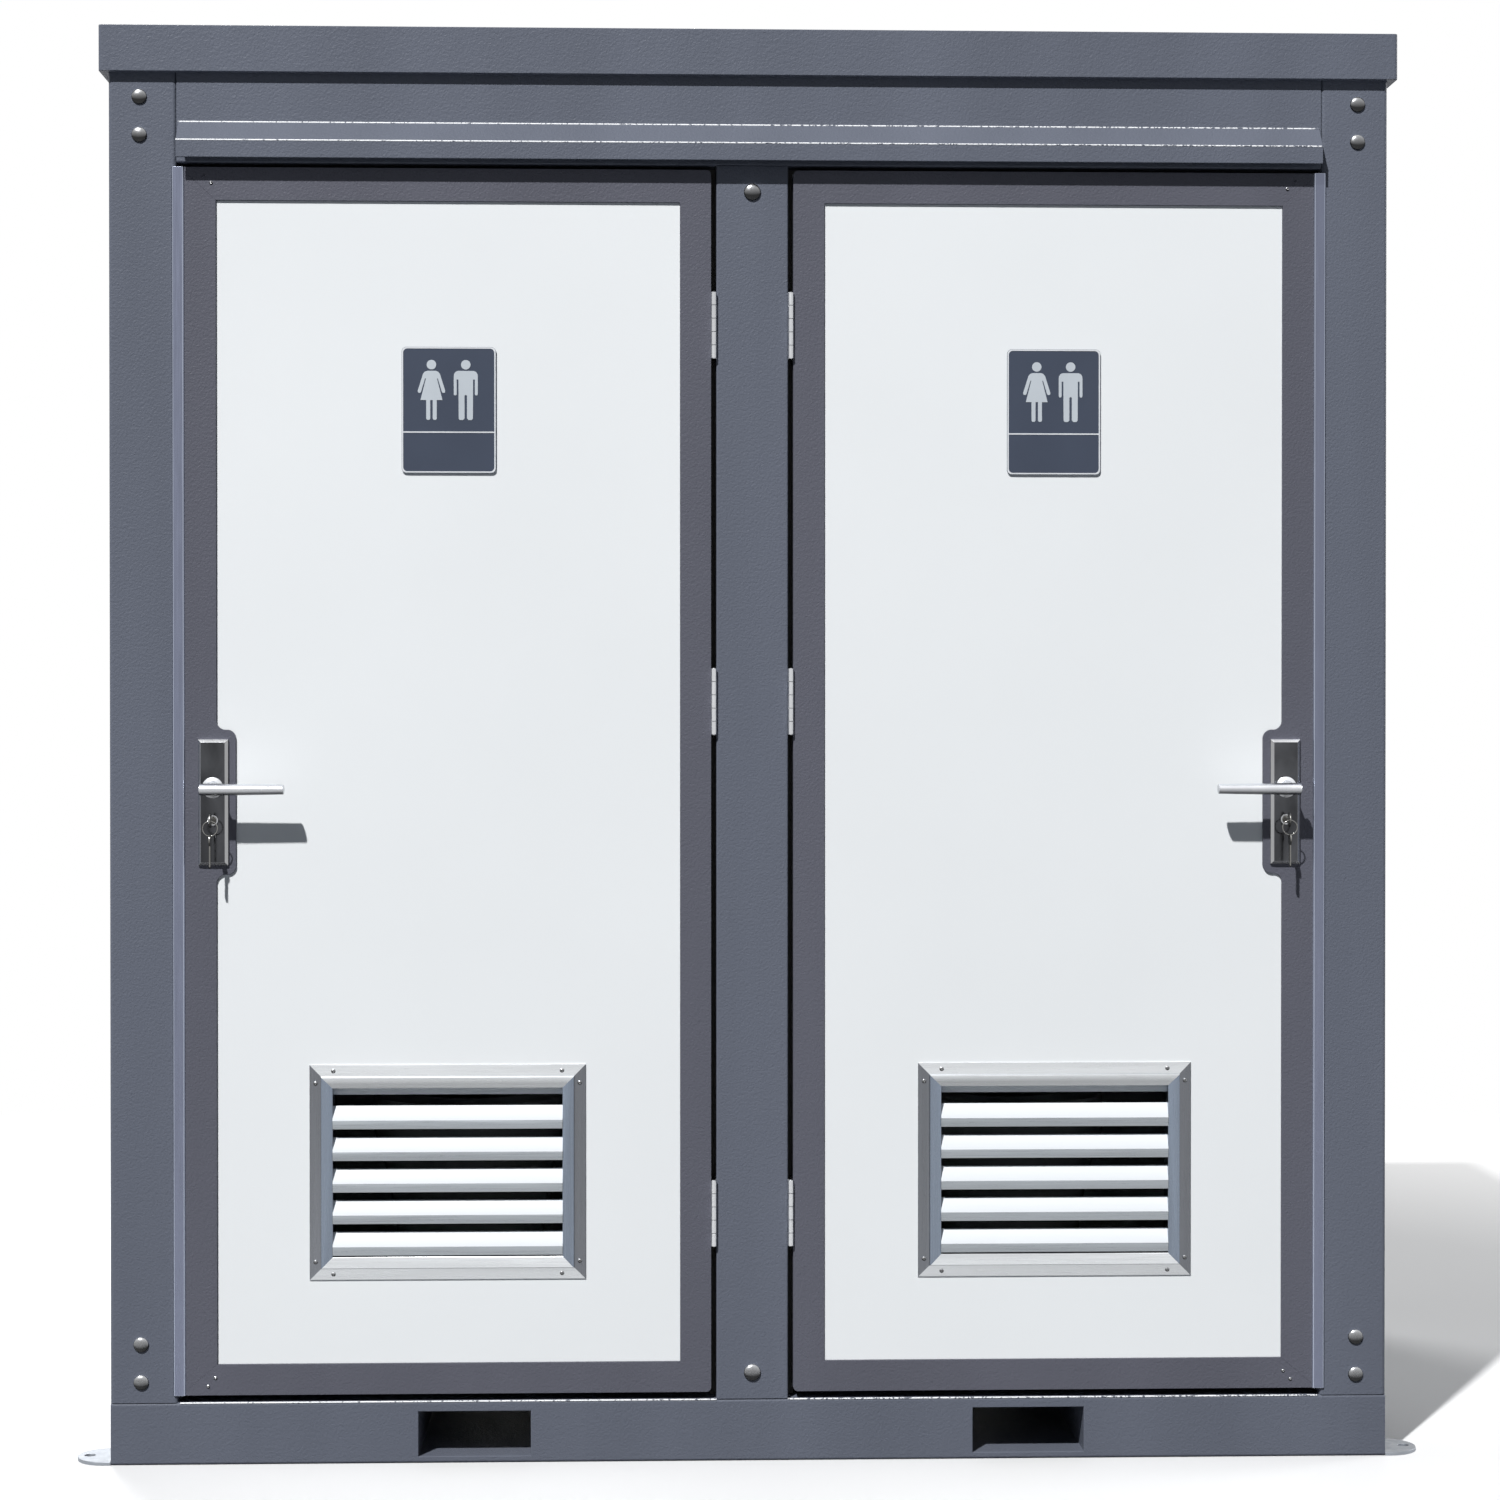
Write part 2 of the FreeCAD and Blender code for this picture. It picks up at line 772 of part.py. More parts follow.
def make_roof():
    reach_x = side + s.roof_overhang
    reach_y = rear + s.roof_overhang
    inner_x = reach_x - s.roof_sheet
    inner_y = reach_y - s.roof_sheet
    lip_top = roof_bottom + s.roof_sheet
    cap = padded("roof_cap", "top", roof_bottom, s.overall_height,
                 rectangle(-reach_x, -reach_y, reach_x, reach_y))
    round_edges(cap, "roof_corners", s.roof_corner, "z", (reach_x, reach_y), (-reach_x, reach_y),
                (reach_x, -reach_y), (-reach_x, -reach_y))
    add_pocket(cap, "roof_mouth", "top", roof_bottom, roof_under, rectangle(-side, -rear, side, rear))
    add_pocket(cap, "roof_inside", "top", lip_top, roof_under,
               rectangle(-inner_x, -inner_y, inner_x, inner_y))
    node(cap)


# Walls, partition and ceiling
def make_panels():
    both("side_wall_panels", sandwich("side_wall_right", "side", wall_in_x, wall_out_x,
                                      rectangle(-post_back, base_top, post_back, wall_top)))
    holes = []
    for mirror in (1, -1):
        holes.append(centred(mirror * stall_x, wall_top - s.vent_fall,
                             s.vent_width - 2 * s.louvre_flange + 2 * s.louvre_gap,
                             s.vent_height - 2 * s.louvre_flange + 2 * s.louvre_gap))
        holes.append(many_cornered(mirror * stall_x, base_top + s.drain_height,
                                   s.drain_radius + s.pipe_clearance, PIPE_SIDES))
        holes.append(many_cornered(mirror * (stall_x + s.inlet_offset), s.inlet_height,
                                   s.inlet_radius + s.pipe_clearance, PIPE_SIDES))
    node(sandwich("rear_wall_panel", "front", wall_in_y, wall_out_y,
                  rectangle(-post_inner, base_top, post_inner, wall_top), *holes))
    half = s.panel_thickness / 2
    node(sandwich("partition_panel", "side", -half, half,
                  rectangle(front + s.centre_post_depth, base_top, wall_in_y, wall_top)))
    near = front + s.header_depth
    node(sandwich("ceiling_panel", "top", wall_top, wall_top + s.panel_thickness, [
        (-post_inner, near), (post_inner, near), (post_inner, -post_back), (wall_out_x, -post_back),
        (wall_out_x, post_back), (post_inner, post_back), (post_inner, wall_out_y),
        (-post_inner, wall_out_y), (-post_inner, post_back), (-wall_out_x, post_back),
        (-wall_out_x, -post_back), (-post_inner, -post_back)]))


# Round-head bolts that hold the frame together
def make_bolts():
    heads = []
    across = side - s.bolt_inset
    along = rear - s.bolt_inset
    low = base_top + s.bolt_rise
    high = roof_bottom - s.bolt_fall
    for mirror in (1, -1):
        for height in (low, low + s.bolt_pitch, high - s.bolt_pitch, high):
            heads.append(("-y", mirror * across, front, height))
            heads.append(("+y", mirror * across, rear, height))
        outwards = "+x" if mirror == 1 else "-x"
        for y in (along, -along):
            heads.append((outwards, mirror * side, y, low))
            heads.append((outwards, mirror * side, y, high))
            heads.append(("+z", mirror * across, y, s.overall_height))
    bolts = [many_sided(f"frame_bolt_{index}", *head, HEAD_SIDES, s.bolt_radius, s.bolt_height)
             for index, head in enumerate(heads)]
    for label, height in (("low", base_top + s.centre_bolt_rise),
                          ("high", header_bottom - s.centre_bolt_fall)):
        bolts.append(many_sided(f"centre_bolt_{label}", "-y", Size(0), front, height, HEAD_SIDES,
                                s.centre_bolt_radius, s.centre_bolt_height))
    node(together("frame_bolts", *bolts))


# Door leaf: frame, latch stile, panel, strip, sign and louvre
def bulged_edge():
    """The line between panel and latch stile from the bottom up, with a bulge round the lock."""
    bulge_x = panel_latch - s.bulge_reach
    halfway = panel_latch - s.bulge_reach / 2
    low = plate_middle - s.bulge_height / 2
    high = plate_middle + s.bulge_height / 2
    rise = s.bulge_shoulder
    radius = (s.bulge_reach * s.bulge_reach + rise * rise) / (4 * s.bulge_reach)
    return [(panel_latch, panel_bottom), (panel_latch, low - rise),
            (halfway, low - rise / 2, radius, "left"), (bulge_x, low, radius, "right"),
            (bulge_x, high), (halfway, high + rise / 2, radius, "right"),
            (panel_latch, high + rise, radius, "left"), (panel_latch, panel_top)]


def backwards(corners):
    """The same stretch of a loop, drawn from its other end."""
    other_turn = {"left": "right", "right": "left"}
    result = [corners[-1][:2]]
    for here, onward in zip(corners[-2::-1], corners[:0:-1]):
        arc = () if len(onward) == 2 else (onward[2], other_turn[onward[3]])
        result.append((*here[:2], *arc))
    return result


def louvre_hole():
    return centred(s.louvre_centre_x, s.louvre_centre_z,
                   s.louvre_width - 2 * s.louvre_flange + 2 * s.louvre_gap,
                   s.louvre_height - 2 * s.louvre_flange + 2 * s.louvre_gap)


def make_leaf():
    frame = padded("right_door_frame", "front", leaf_front, lining_front, [
        (leaf_hinge, leaf_bottom), (leaf_latch, leaf_bottom), (panel_latch, panel_bottom),
        (panel_hinge, panel_bottom), (panel_hinge, panel_top), (panel_latch, panel_top),
        (leaf_latch, leaf_top), (leaf_hinge, leaf_top)])
    round_edges(frame, "door_frame_corners", s.door_corner, "y",
                (leaf_hinge, leaf_bottom), (leaf_hinge, leaf_top))
    hollow(frame, "door_frame_fold", s.door_sheet, "+y")
    each_side(frame)

    stile = padded("right_latch_stile", "front", leaf_front, lining_front,
                   [(leaf_latch, leaf_bottom), (leaf_latch, leaf_top), *backwards(bulged_edge())])
    hollow(stile, "latch_stile_fold", s.door_sheet, "+y")
    add_pocket(stile, "forend_slot", "side", leaf_latch - s.door_sheet, leaf_latch,
               centred(leaf_middle, plate_middle, s.case_thickness, s.forend_height))
    add_pocket(stile, "stile_lock_holes", "front", leaf_front, leaf_front + s.door_sheet, *lock_holes())
    each_side(stile)

    panel = padded("right_door_panel", "front", panel_face, lining_front,
                   [(panel_hinge, panel_bottom), *bulged_edge(), (panel_hinge, panel_top)], louvre_hole())
    hollow(panel, "door_panel_core", s.panel_skin, "+y")
    add_pad(panel, "door_lining", "front", lining_front, leaf_back,
            rectangle(leaf_hinge, leaf_bottom, leaf_latch, leaf_top), louvre_hole(), *lock_holes())
    each_side(panel)

    strip_out = post_inner + s.strip_lap
    strip_in = strip_out - s.strip_width
    shoulder = leaf_front - s.strip_thickness + s.strip_bevel
    face = leaf_front - s.strip_thickness
    each_side(padded("right_edge_strip", "top", leaf_bottom, leaf_top, [
        (strip_in, leaf_front), (strip_in, shoulder), (strip_in + s.strip_bevel, face),
        (strip_out - s.strip_bevel, face), (strip_out, shoulder), (strip_out, leaf_front)]))

    sign_z = panel_top - s.sign_fall
    sign = padded("right_sign", "front", panel_face - s.sign_thickness, panel_face,
                  centred(s.sign_centre_x, sign_z, s.sign_width, s.sign_height))
    half_width, half_height = s.sign_width / 2, s.sign_height / 2
    corners = [(s.sign_centre_x + i * half_width, sign_z + j * half_height)
               for i in (1, -1) for j in (1, -1)]
    round_edges(sign, "sign_corners", s.sign_corner, "y", *corners)
    each_side(sign)


def louvre(name, x, z, width, height, face, back, pitch, count, slope, lip, outwards):
    """A weather louvre: a flange on the panel, a raised frame through it and folded blades."""
    body = doc.addObject("PartDesign::Body", name)
    trim = 2 * s.louvre_flange
    opening = trim + 2 * s.louvre_frame
    flange_face = face + outwards * s.louvre_flange_thickness
    raised_face = face + outwards * s.louvre_raise
    mouth = centred(x, z, width - opening, height - opening)
    flange_span = (flange_face, face) if outwards == -1 else (face, flange_face)
    frame_span = (raised_face, back) if outwards == -1 else (back, raised_face)
    add_pad(body, f"{name}_flange", "front", *flange_span, centred(x, z, width, height), mouth)
    add_pad(body, f"{name}_frame", "front", *frame_span,
            centred(x, z, width - trim, height - trim), mouth)
    fold_y = raised_face - outwards * s.blade_set_back
    back_y = fold_y - outwards * s.blade_reach
    inner_y = fold_y - outwards * s.blade_sheet
    low = z - (height - opening) / 2 + s.louvre_gap
    fold_z = low + lip
    gradient = slope / s.blade_reach
    upright = s.blade_sheet * root_of(1 + gradient * gradient)
    half = (width - opening) / 2
    blade = [(back_y, fold_z + slope), (fold_y, fold_z), (fold_y, low), (inner_y, low),
             (inner_y, fold_z + gradient * s.blade_sheet - upright), (back_y, fold_z + slope - upright)]
    pad = add_pad(body, f"{name}_blade", "side", x - half, x + half, blade)
    pattern = body.newObject("PartDesign::LinearPattern", f"{name}_blades")
    pattern.Originals = [pad]
    upwards = next(part for part in body.Origin.OriginFeatures if part.Role == "Z_Axis")
    pattern.Direction = (upwards, [""])
    bind(pattern, Occurrences=count, Length=pitch * (count - 1))
    body.Tip = pattern
    doc.recompute()
    return body


def make_louvres():
    each_side(louvre("right_louvre", s.louvre_centre_x, s.louvre_centre_z, s.louvre_width, s.louvre_height,
                     panel_face, leaf_back, s.blade_pitch, s.blade_count, s.blade_slope, s.blade_lip, -1))
    both("rear_vents", louvre("rear_vent_right", stall_x, wall_top - s.vent_fall, s.vent_width,
                              s.vent_height, wall_out_y, wall_in_y, s.vent_blade_pitch,
                              s.vent_blade_count, s.vent_blade_slope, s.vent_blade_lip, 1))


# Butt hinges: door leaves with three knuckles and the pin, post leaves with two bored knuckles
def make_hinges():
    door_hinges = []
    post_hinges = []
    share = (s.hinge_height - 4 * s.knuckle_gap) / 5
    spans = {"door": (leaf_hinge - s.hinge_leaf, leaf_hinge),
             "post": (centre_side, centre_side + s.hinge_leaf)}
    for label, height in (("low", leaf_bottom + s.hinge_rise), ("middle", leaf_top - s.hinge_middle_fall),
                          ("high", leaf_top - s.hinge_high_fall)):
        bottom = height - s.hinge_height / 2
        top = height + s.hinge_height / 2
        depth = (front, front + s.hinge_leaf_depth)
        pieces = {owner: [block(f"{owner}_leaf_{label}", across, depth, (bottom, top))]
                  for owner, across in spans.items()}
        for turn in range(5):
            owner = "door" if turn % 2 == 0 else "post"
            low = bottom + turn * (share + s.knuckle_gap)
            pieces[owner].append(many_sided(f"{owner}_knuckle_{label}_{turn}", "+z", hinge_x, hinge_y, low,
                                            KNUCKLE_SIDES, s.knuckle_radius, share))
            pieces[owner].append(block(f"{owner}_tab_{label}_{turn}", spans[owner], (hinge_y, front),
                                       (low, low + share)))
        pin = many_sided(f"hinge_pin_{label}", "+z", hinge_x, hinge_y, bottom, KNUCKLE_SIDES,
                         s.hinge_pin_radius, s.hinge_height)
        pin_hole = many_sided(f"pin_hole_{label}", "+z", hinge_x, hinge_y, bottom, KNUCKLE_SIDES,
                              s.hinge_pin_radius + s.hinge_pin_clearance, s.hinge_height)
        door_hinges.append(fused(f"door_hinge_{label}", *pieces["door"], pin))
        post_whole = fused(f"post_hinge_{label}_whole", *pieces["post"])
        post_hinges.append(cut(f"post_hinge_{label}", post_whole, pin_hole))
    each_side(together("right_hinge_leaves", *door_hinges))
    both("post_hinge_leaves", together("post_hinges_right", *post_hinges))


# Lock: plates, case with its cylinder, levers on their spindle, latch, deadbolt, key and key ring
BEND_STEPS = 3


def lock_holes():
    """The holes for the lever's follower and the cylinder, through plate, stile and lining."""
    return [many_cornered(lock_x, s.lever_height, s.follower_radius, LOCK_SIDES),
            many_cornered(lock_x, cylinder_height, s.cylinder_radius + s.running_gap, LOCK_SIDES)]


def lever_ring(name, direction, x, y, radius):
    ring = turned("Part::RegularPolygon", name, direction, x, y, s.lever_height, Circumradius=radius)
    ring.Polygon = LOCK_SIDES
    return ring


def drafted_rod(name, view, low, high, x, y, wide_radius, narrow_radius, wide_side):
    """A many-sided rod that narrows evenly from its wide end, which lies low or high."""
    body = padded(name, view, low, high, many_cornered(x, y, wide_radius, LOCK_SIDES))
    faces = list(enumerate(body.Tip.Shape.Faces, start=1))
    ends = [f"Face{index}" for index, face in faces if len(face.Edges) == LOCK_SIDES]
    axis = {"front": "y", "side": "x"}[view]
    ends.sort(key=lambda name: getattr(body.Tip.Shape.getElement(name).CenterOfMass, axis))
    pad = body.Tip
    draft = body.newObject("PartDesign::Draft", f"{name}_taper")
    draft.Base = (pad, [f"Face{index}" for index, face in faces if len(face.Edges) == 4])
    draft.NeutralPlane = (pad, [ends[0] if wide_side == "low" else ends[-1]])
    draft.Reversed = True
    apothem = round(math.cos(math.pi / LOCK_SIDES), 6)
    bind(draft, Angle=f"atan({(wide_radius - narrow_radius) * apothem / (high - low)})")
    doc.recompute()
    return body


def bent_lever(name, start, bar_y):
    """A neck that leaves the door, a mitred bend and a bar that tapers to its tip."""
    bend_x = lock_x - s.lever_bend
    bend_y = bar_y + s.lever_bend
    turns = [math.radians(90 * step / BEND_STEPS) for step in range(BEND_STEPS + 1)]
    route = [(lock_x, bend_y + s.lever_straight)]
    route += [(bend_x + s.lever_bend * round(math.cos(turn), 6),
               bend_y - s.lever_bend * round(math.sin(turn), 6)) for turn in turns]
    route.append((bend_x - s.lever_straight, bar_y))
    spine = doc.addObject("Sketcher::SketchObject", f"{name}_route")
    spine.setExpression("Placement.Base.z", str(s.lever_height))
    draw_path(spine, route)
    bend = doc.addObject("Part::Sweep", f"{name}_bend")
    bend.Sections = [lever_ring(f"{name}_bend_ring", "-y", *route[0], s.lever_radius)]
    bend.Spine = (spine, [f"Edge{index + 1}" for index in range(len(route) - 1)])
    bend.Solid = True
    bend.Transition = "Right corner"
    neck = drafted_rod(f"{name}_neck", "front", route[0][1], start, lock_x, s.lever_height,
                       s.neck_radius, s.lever_radius, "high")
    bar = drafted_rod(f"{name}_bar", "side", lock_x - s.lever_length, route[-1][0], bar_y, s.lever_height,
                      s.lever_radius, s.tip_radius, "high")
    return fused(name, neck, bend, bar)


def make_lock():
    plate = padded("right_plate_out", "front", plate_face, leaf_front,
                   centred(lock_x, plate_middle, s.plate_width, s.plate_height))
    pad = plate.Tip
    face_edges = [f"Edge{index}" for index, edge in enumerate(pad.Shape.Edges, start=1)
                  if abs(edge.CenterOfMass.y - number(plate_face)) < 0.01]
    bevel = plate.newObject("PartDesign::Chamfer", "plate_bevel_cut")
    bevel.Base = (pad, face_edges)
    bind(bevel, Size=s.plate_bevel)
    doc.recompute()
    add_pocket(plate, "plate_holes", "front", plate_face, leaf_front, *lock_holes())
    inner_plate = mirrored("right_plate_in", plate, (0, 1, 0), leaf_middle)
    each_side(together("right_lock_plates", plate, inner_plate))

    half_case = s.case_thickness / 2
    case_low = plate_middle - s.case_height / 2
    forend_low = plate_middle - s.forend_height / 2
    case_y = (leaf_middle - half_case, leaf_middle + half_case)
    case = block("case_body", (leaf_latch - s.case_depth, leaf_latch - s.forend_thickness), case_y,
                 (case_low, case_low + s.case_height))
    forend = block("forend", (leaf_latch - s.forend_thickness, leaf_latch), case_y,
                   (forend_low, forend_low + s.forend_height))
    gap = s.bolt_channel_gap
    channels = []
    dead_length = s.dead_guide + s.dead_throw
    for label, height, length, width, rise in (
            ("latch", s.lever_height, s.latch_length, s.latch_width, s.latch_rise),
            ("dead", cylinder_height, dead_length, s.dead_width, s.dead_rise)):
        inner_end = leaf_latch - length - gap
        channels.append(block(f"{label}_channel", (inner_end, leaf_latch),
                              (leaf_middle - width / 2 - gap, leaf_middle + width / 2 + gap),
                              (height - rise / 2 - gap, height + rise / 2 + gap)))
    through = s.case_thickness
    channels.append(rod("follower_hole", "+y", lock_x, case_y[0], s.lever_height,
                        s.follower_radius, through))
    channels.append(many_sided("case_cylinder_hole", "+y", lock_x, case_y[0], cylinder_height,
                               LOCK_SIDES, s.cylinder_radius + s.running_gap, through))
    case = cut("case_whole", fused("case_and_forend", case, forend), *channels)
    cylinder_y = plate_face - s.cylinder_proud
    cylinder_length = 2 * (leaf_middle - cylinder_y)
    cylinder = cut("lock_cylinder", many_sided("cylinder_body", "+y", lock_x, cylinder_y, cylinder_height,
                                               LOCK_SIDES, s.cylinder_radius, cylinder_length),
                   many_sided("cylinder_bore", "+y", lock_x, cylinder_y, cylinder_height, LOCK_SIDES,
                              s.plug_radius + s.plug_clearance, s.plug_length + s.running_gap))
    each_side(together("right_lock_case", case, cylinder))

    bar_y = plate_face - s.lever_stand_off
    start = plate_face - s.running_gap
    outer = bent_lever("lever_outer", start, bar_y)
    inner = mirrored("lever_inner", outer, (0, 1, 0), leaf_middle)
    half = s.spindle / 2
    spindle_end = leaf_middle - start
    spindle = block("lever_spindle", (lock_x - half, lock_x + half),
                    (start, leaf_middle + spindle_end), (s.lever_height - half, s.lever_height + half))
    each_side(fused("right_levers", outer, spindle, inner))

    latch_in = leaf_latch - s.latch_length + s.latch_throw
    nose = leaf_latch + s.latch_throw
    near = leaf_middle - s.latch_width / 2
    far = leaf_middle + s.latch_width / 2
    each_side(padded("right_latch_bolt", "top", s.lever_height - s.latch_rise / 2,
                     s.lever_height + s.latch_rise / 2,
                     [(latch_in, near), (nose, near), (leaf_latch, far), (latch_in, far)]))
    each_side(block("right_deadbolt", (leaf_latch - dead_length, leaf_latch),
                    (leaf_middle - s.dead_width / 2, leaf_middle + s.dead_width / 2),
                    (cylinder_height - s.dead_rise / 2, cylinder_height + s.dead_rise / 2)))

    strike_y = (leaf_middle - s.strike_width / 2, leaf_middle + s.strike_width / 2)
    strike_z = (plate_middle - s.forend_height / 2, plate_middle + s.forend_height / 2)
    outline = rectangle(strike_y[0], strike_z[0], strike_y[1], strike_z[1])
    both("strike_plates", padded("strike_right", "side", post_inner - s.strike_thickness, post_inner,
                                 outline, *strike_holes()))
    make_key()


def make_key():
    plug_front = plate_face - s.cylinder_proud
    bow_y = plug_front - s.bow_stand_off
    half = s.bow_thickness / 2
    plug = rod("key_plug", "+y", lock_x, plug_front, cylinder_height, s.plug_radius, s.plug_length)
    bow = many_sided("key_bow", "+x", lock_x - half, bow_y, cylinder_height, LOCK_SIDES,
                     s.bow_radius, s.bow_thickness)
    stem = block("key_stem", (lock_x - half, lock_x + half), (bow_y, plug_front),
                 (cylinder_height - s.key_stem_height / 2, cylinder_height + s.key_stem_height / 2))
    hole_y = bow_y - s.bow_hole_offset
    hole = many_sided("key_bow_hole", "+x", lock_x - half, hole_y, cylinder_height, EYE_SIDES,
                      s.bow_hole_radius, s.bow_thickness)
    each_side(cut("right_key", fused("key_whole", plug, bow, stem), hole))

    slack = s.bow_hole_radius - s.ring_wire * root_of(2) - s.ring_play
    ring_z = cylinder_height - slack - s.ring_radius
    ring_y = hole_y - s.ring_wire
    discs = [many_sided(f"ring_{edge}", "+y", lock_x, ring_y, ring_z, LOCK_SIDES, radius, 2 * s.ring_wire)
             for edge, radius in (("outside", s.ring_radius + s.ring_wire),
                                  ("inside", s.ring_radius - s.ring_wire))]
    ring = cut("ring_wire", *discs)
    spare_hole = ring_z - s.ring_radius - slack
    spare_middle = spare_hole - s.bow_hole_offset
    spare_bow = many_sided("spare_bow", "+x", lock_x - half, hole_y, spare_middle, HEAD_SIDES,
                           s.spare_bow_radius, s.bow_thickness)
    blade_top = spare_middle - s.spare_bow_radius / 2
    blade = block("spare_blade", (lock_x - half, lock_x + half),
                  (hole_y - s.spare_blade_width / 2, hole_y + s.spare_blade_width / 2),
                  (blade_top - s.spare_blade_length, blade_top))
    spare = cut("spare_key", fused("spare_whole", spare_bow, blade),
                many_sided("spare_hole", "+x", lock_x - half, hole_y, spare_hole, EYE_SIDES,
                           s.bow_hole_radius, s.bow_thickness))
    each_side(together("right_key_ring", ring, spare))


# Rubber seal that the closed leaf meets
def make_seals():
    inset = s.seal_width
    corners = [
        (centre_side, base_top), (centre_side + inset, base_top),
        (centre_side + inset, header_bottom - inset), (post_inner - inset, header_bottom - inset),
        (post_inner - inset, base_top), (post_inner, base_top), (post_inner, header_bottom),
        (centre_side, header_bottom)]
    meets = leaf_back + s.seal_gap
    both("door_seals", padded("door_seal_right", "front", meets, meets + s.seal_thickness, corners))


# Toilet: pan, seat on its hinge, cistern with its flush button, drain and water inlet
def stadium(x, y, length, width):
    """An oblong with round ends, longest from front to back."""
    radius = width / 2
    reach = length / 2 - radius
    return half_round(x, y + reach, radius, 0) + half_round(x, y - reach, radius, 180)


def skirt(x, near, far, half):
    """An oblong with a round front end and a square back end."""
    return [(x + half, far), (x - half, far)] + half_round(x, near + half, half, 180)


def make_toilet():
    rim_z = base_top + s.rim_height
    rim_y = wall_in_y - s.rim_back - s.rim_length / 2
    near = rim_y - s.rim_length / 2
    half = s.rim_width / 2
    ledge_z = rim_z - s.bowl_ledge
    well_z = rim_z - s.bowl_depth
    well_wall = s.bowl_well_radius + s.pan_wall
    inside = skirt(stall_x, near + s.pan_wall, wall_in_y - s.pan_wall, half - s.pan_wall)
    pan = padded("pan_right", "top", base_top, rim_z, skirt(stall_x, near, wall_in_y, half))
    add_pocket(pan, "pan_bowl", "top", ledge_z, rim_z,
               stadium(stall_x, rim_y, s.rim_length - 2 * s.bowl_wall, s.rim_width - 2 * s.bowl_wall))
    add_pocket(pan, "pan_well", "top", well_z, ledge_z,
               many_cornered(stall_x, rim_y, s.bowl_well_radius, DISC_SIDES))
    add_pocket(pan, "pan_underside", "top", base_top, well_z - s.pan_wall, inside)
    add_pocket(pan, "pan_round_well", "top", well_z - s.pan_wall, ledge_z - s.pan_wall, inside,
               many_cornered(stall_x, rim_y, well_wall, DISC_SIDES))
    both("toilet_pans", pan)

    seat_low = rim_z + s.seat_gap
    ring = padded("seat_ring", "top", seat_low, seat_low + s.seat_thickness,
                  stadium(stall_x, rim_y, s.rim_length, s.rim_width),
                  stadium(stall_x, rim_y, s.seat_opening_length, s.seat_opening_width))
    axis_y = rim_y + s.rim_length / 2 + s.seat_hinge_reach
    axis_z = rim_z + s.seat_hinge_rise
    knuckles = []
    bores = []
    posts = []
    arm_front = axis_y - 3 * s.seat_hinge_reach - s.seat_knuckle_radius
    half_post = s.seat_post_width / 2
    for label, mirror in (("outer", 1), ("inner", -1)):
        middle = stall_x + mirror * s.seat_hinge_spacing / 2
        low = middle - s.seat_knuckle_length / 2
        knuckles.append(many_sided(f"seat_knuckle_{label}", "+x", low, axis_y, axis_z, KNUCKLE_SIDES,
                                   s.seat_knuckle_radius, s.seat_knuckle_length))
        knuckles.append(block(f"seat_arm_{label}", (low, low + s.seat_knuckle_length), (arm_front, axis_y),
                              (seat_low, axis_z + s.seat_knuckle_radius)))
        bores.append(many_sided(f"seat_bore_{label}", "+x", low, axis_y, axis_z, KNUCKLE_SIDES,
                                s.seat_pin_radius + s.seat_pin_clearance, s.seat_knuckle_length))
        post_x = middle + mirror * (s.seat_knuckle_length / 2 + half_post + s.seat_post_gap)
        stud = block(f"seat_post_{label}", (post_x - half_post, post_x + half_post),
                     (axis_y - half_post, axis_y + half_post), (rim_z, axis_z + s.seat_knuckle_radius))
        pin_start = low if mirror == 1 else post_x
        pin = many_sided(f"seat_pin_{label}", "+x", pin_start, axis_y, axis_z, KNUCKLE_SIDES,
                         s.seat_pin_radius, s.seat_knuckle_length + half_post + s.seat_post_gap)
        posts.append(fused(f"seat_bracket_{label}", stud, pin))
    seat = cut("right_seat", fused("seat_whole", ring, *knuckles), *bores)
    each_side(seat)
    both("seat_hinge_posts", together("seat_posts_right", *posts))

    make_cistern(rim_z)


def make_cistern(rim_z):
    half = s.cistern_width / 2
    near = wall_in_y - s.cistern_depth
    lid_low = rim_z + s.cistern_height - s.cistern_lid
    tank = padded("cistern_tank", "top", rim_z, lid_low,
                  rectangle(stall_x - half, near, stall_x + half, wall_in_y))
    round_edges(tank, "cistern_corners", s.cistern_corner, "z",
                (stall_x - half, near), (stall_x + half, near))
    hollow(tank, "cistern_inside", s.cistern_wall, "+z")
    lap = s.cistern_lid_lap
    lid = padded("cistern_lid_plate", "top", lid_low, lid_low + s.cistern_lid,
                 rectangle(stall_x - half - lap, near - lap, stall_x + half + lap, wall_in_y))
    round_edges(lid, "lid_corners", s.cistern_corner, "z", (stall_x - half - lap, near - lap),
                (stall_x + half + lap, near - lap))
    button_y = wall_in_y - s.cistern_depth / 2
    hole = many_cornered(stall_x, button_y, s.button_radius + s.button_gap, LOCK_SIDES)
    add_pocket(lid, "button_hole", "top", lid_low, lid_low + s.cistern_lid, hole)
    both("cisterns", together("cistern_right", tank, lid))

    button_low = lid_low + s.cistern_lid + s.button_proud - s.button_height
    each_side(many_sided("right_flush_button", "+z", stall_x, button_y, button_low, LOCK_SIDES,
                         s.button_radius, s.button_height))

    drain_z = base_top + s.drain_height
    both("drain_pipes", pipe("drain_right", stall_x, drain_z, s.drain_radius,
                             s.drain_radius - s.drain_wall, s.drain_collar, rear + s.drain_reach))
    both("water_inlets", pipe("inlet_right", stall_x + s.inlet_offset, s.inlet_height, s.inlet_radius,
                              s.inlet_bore, s.inlet_collar, rear + s.inlet_reach))


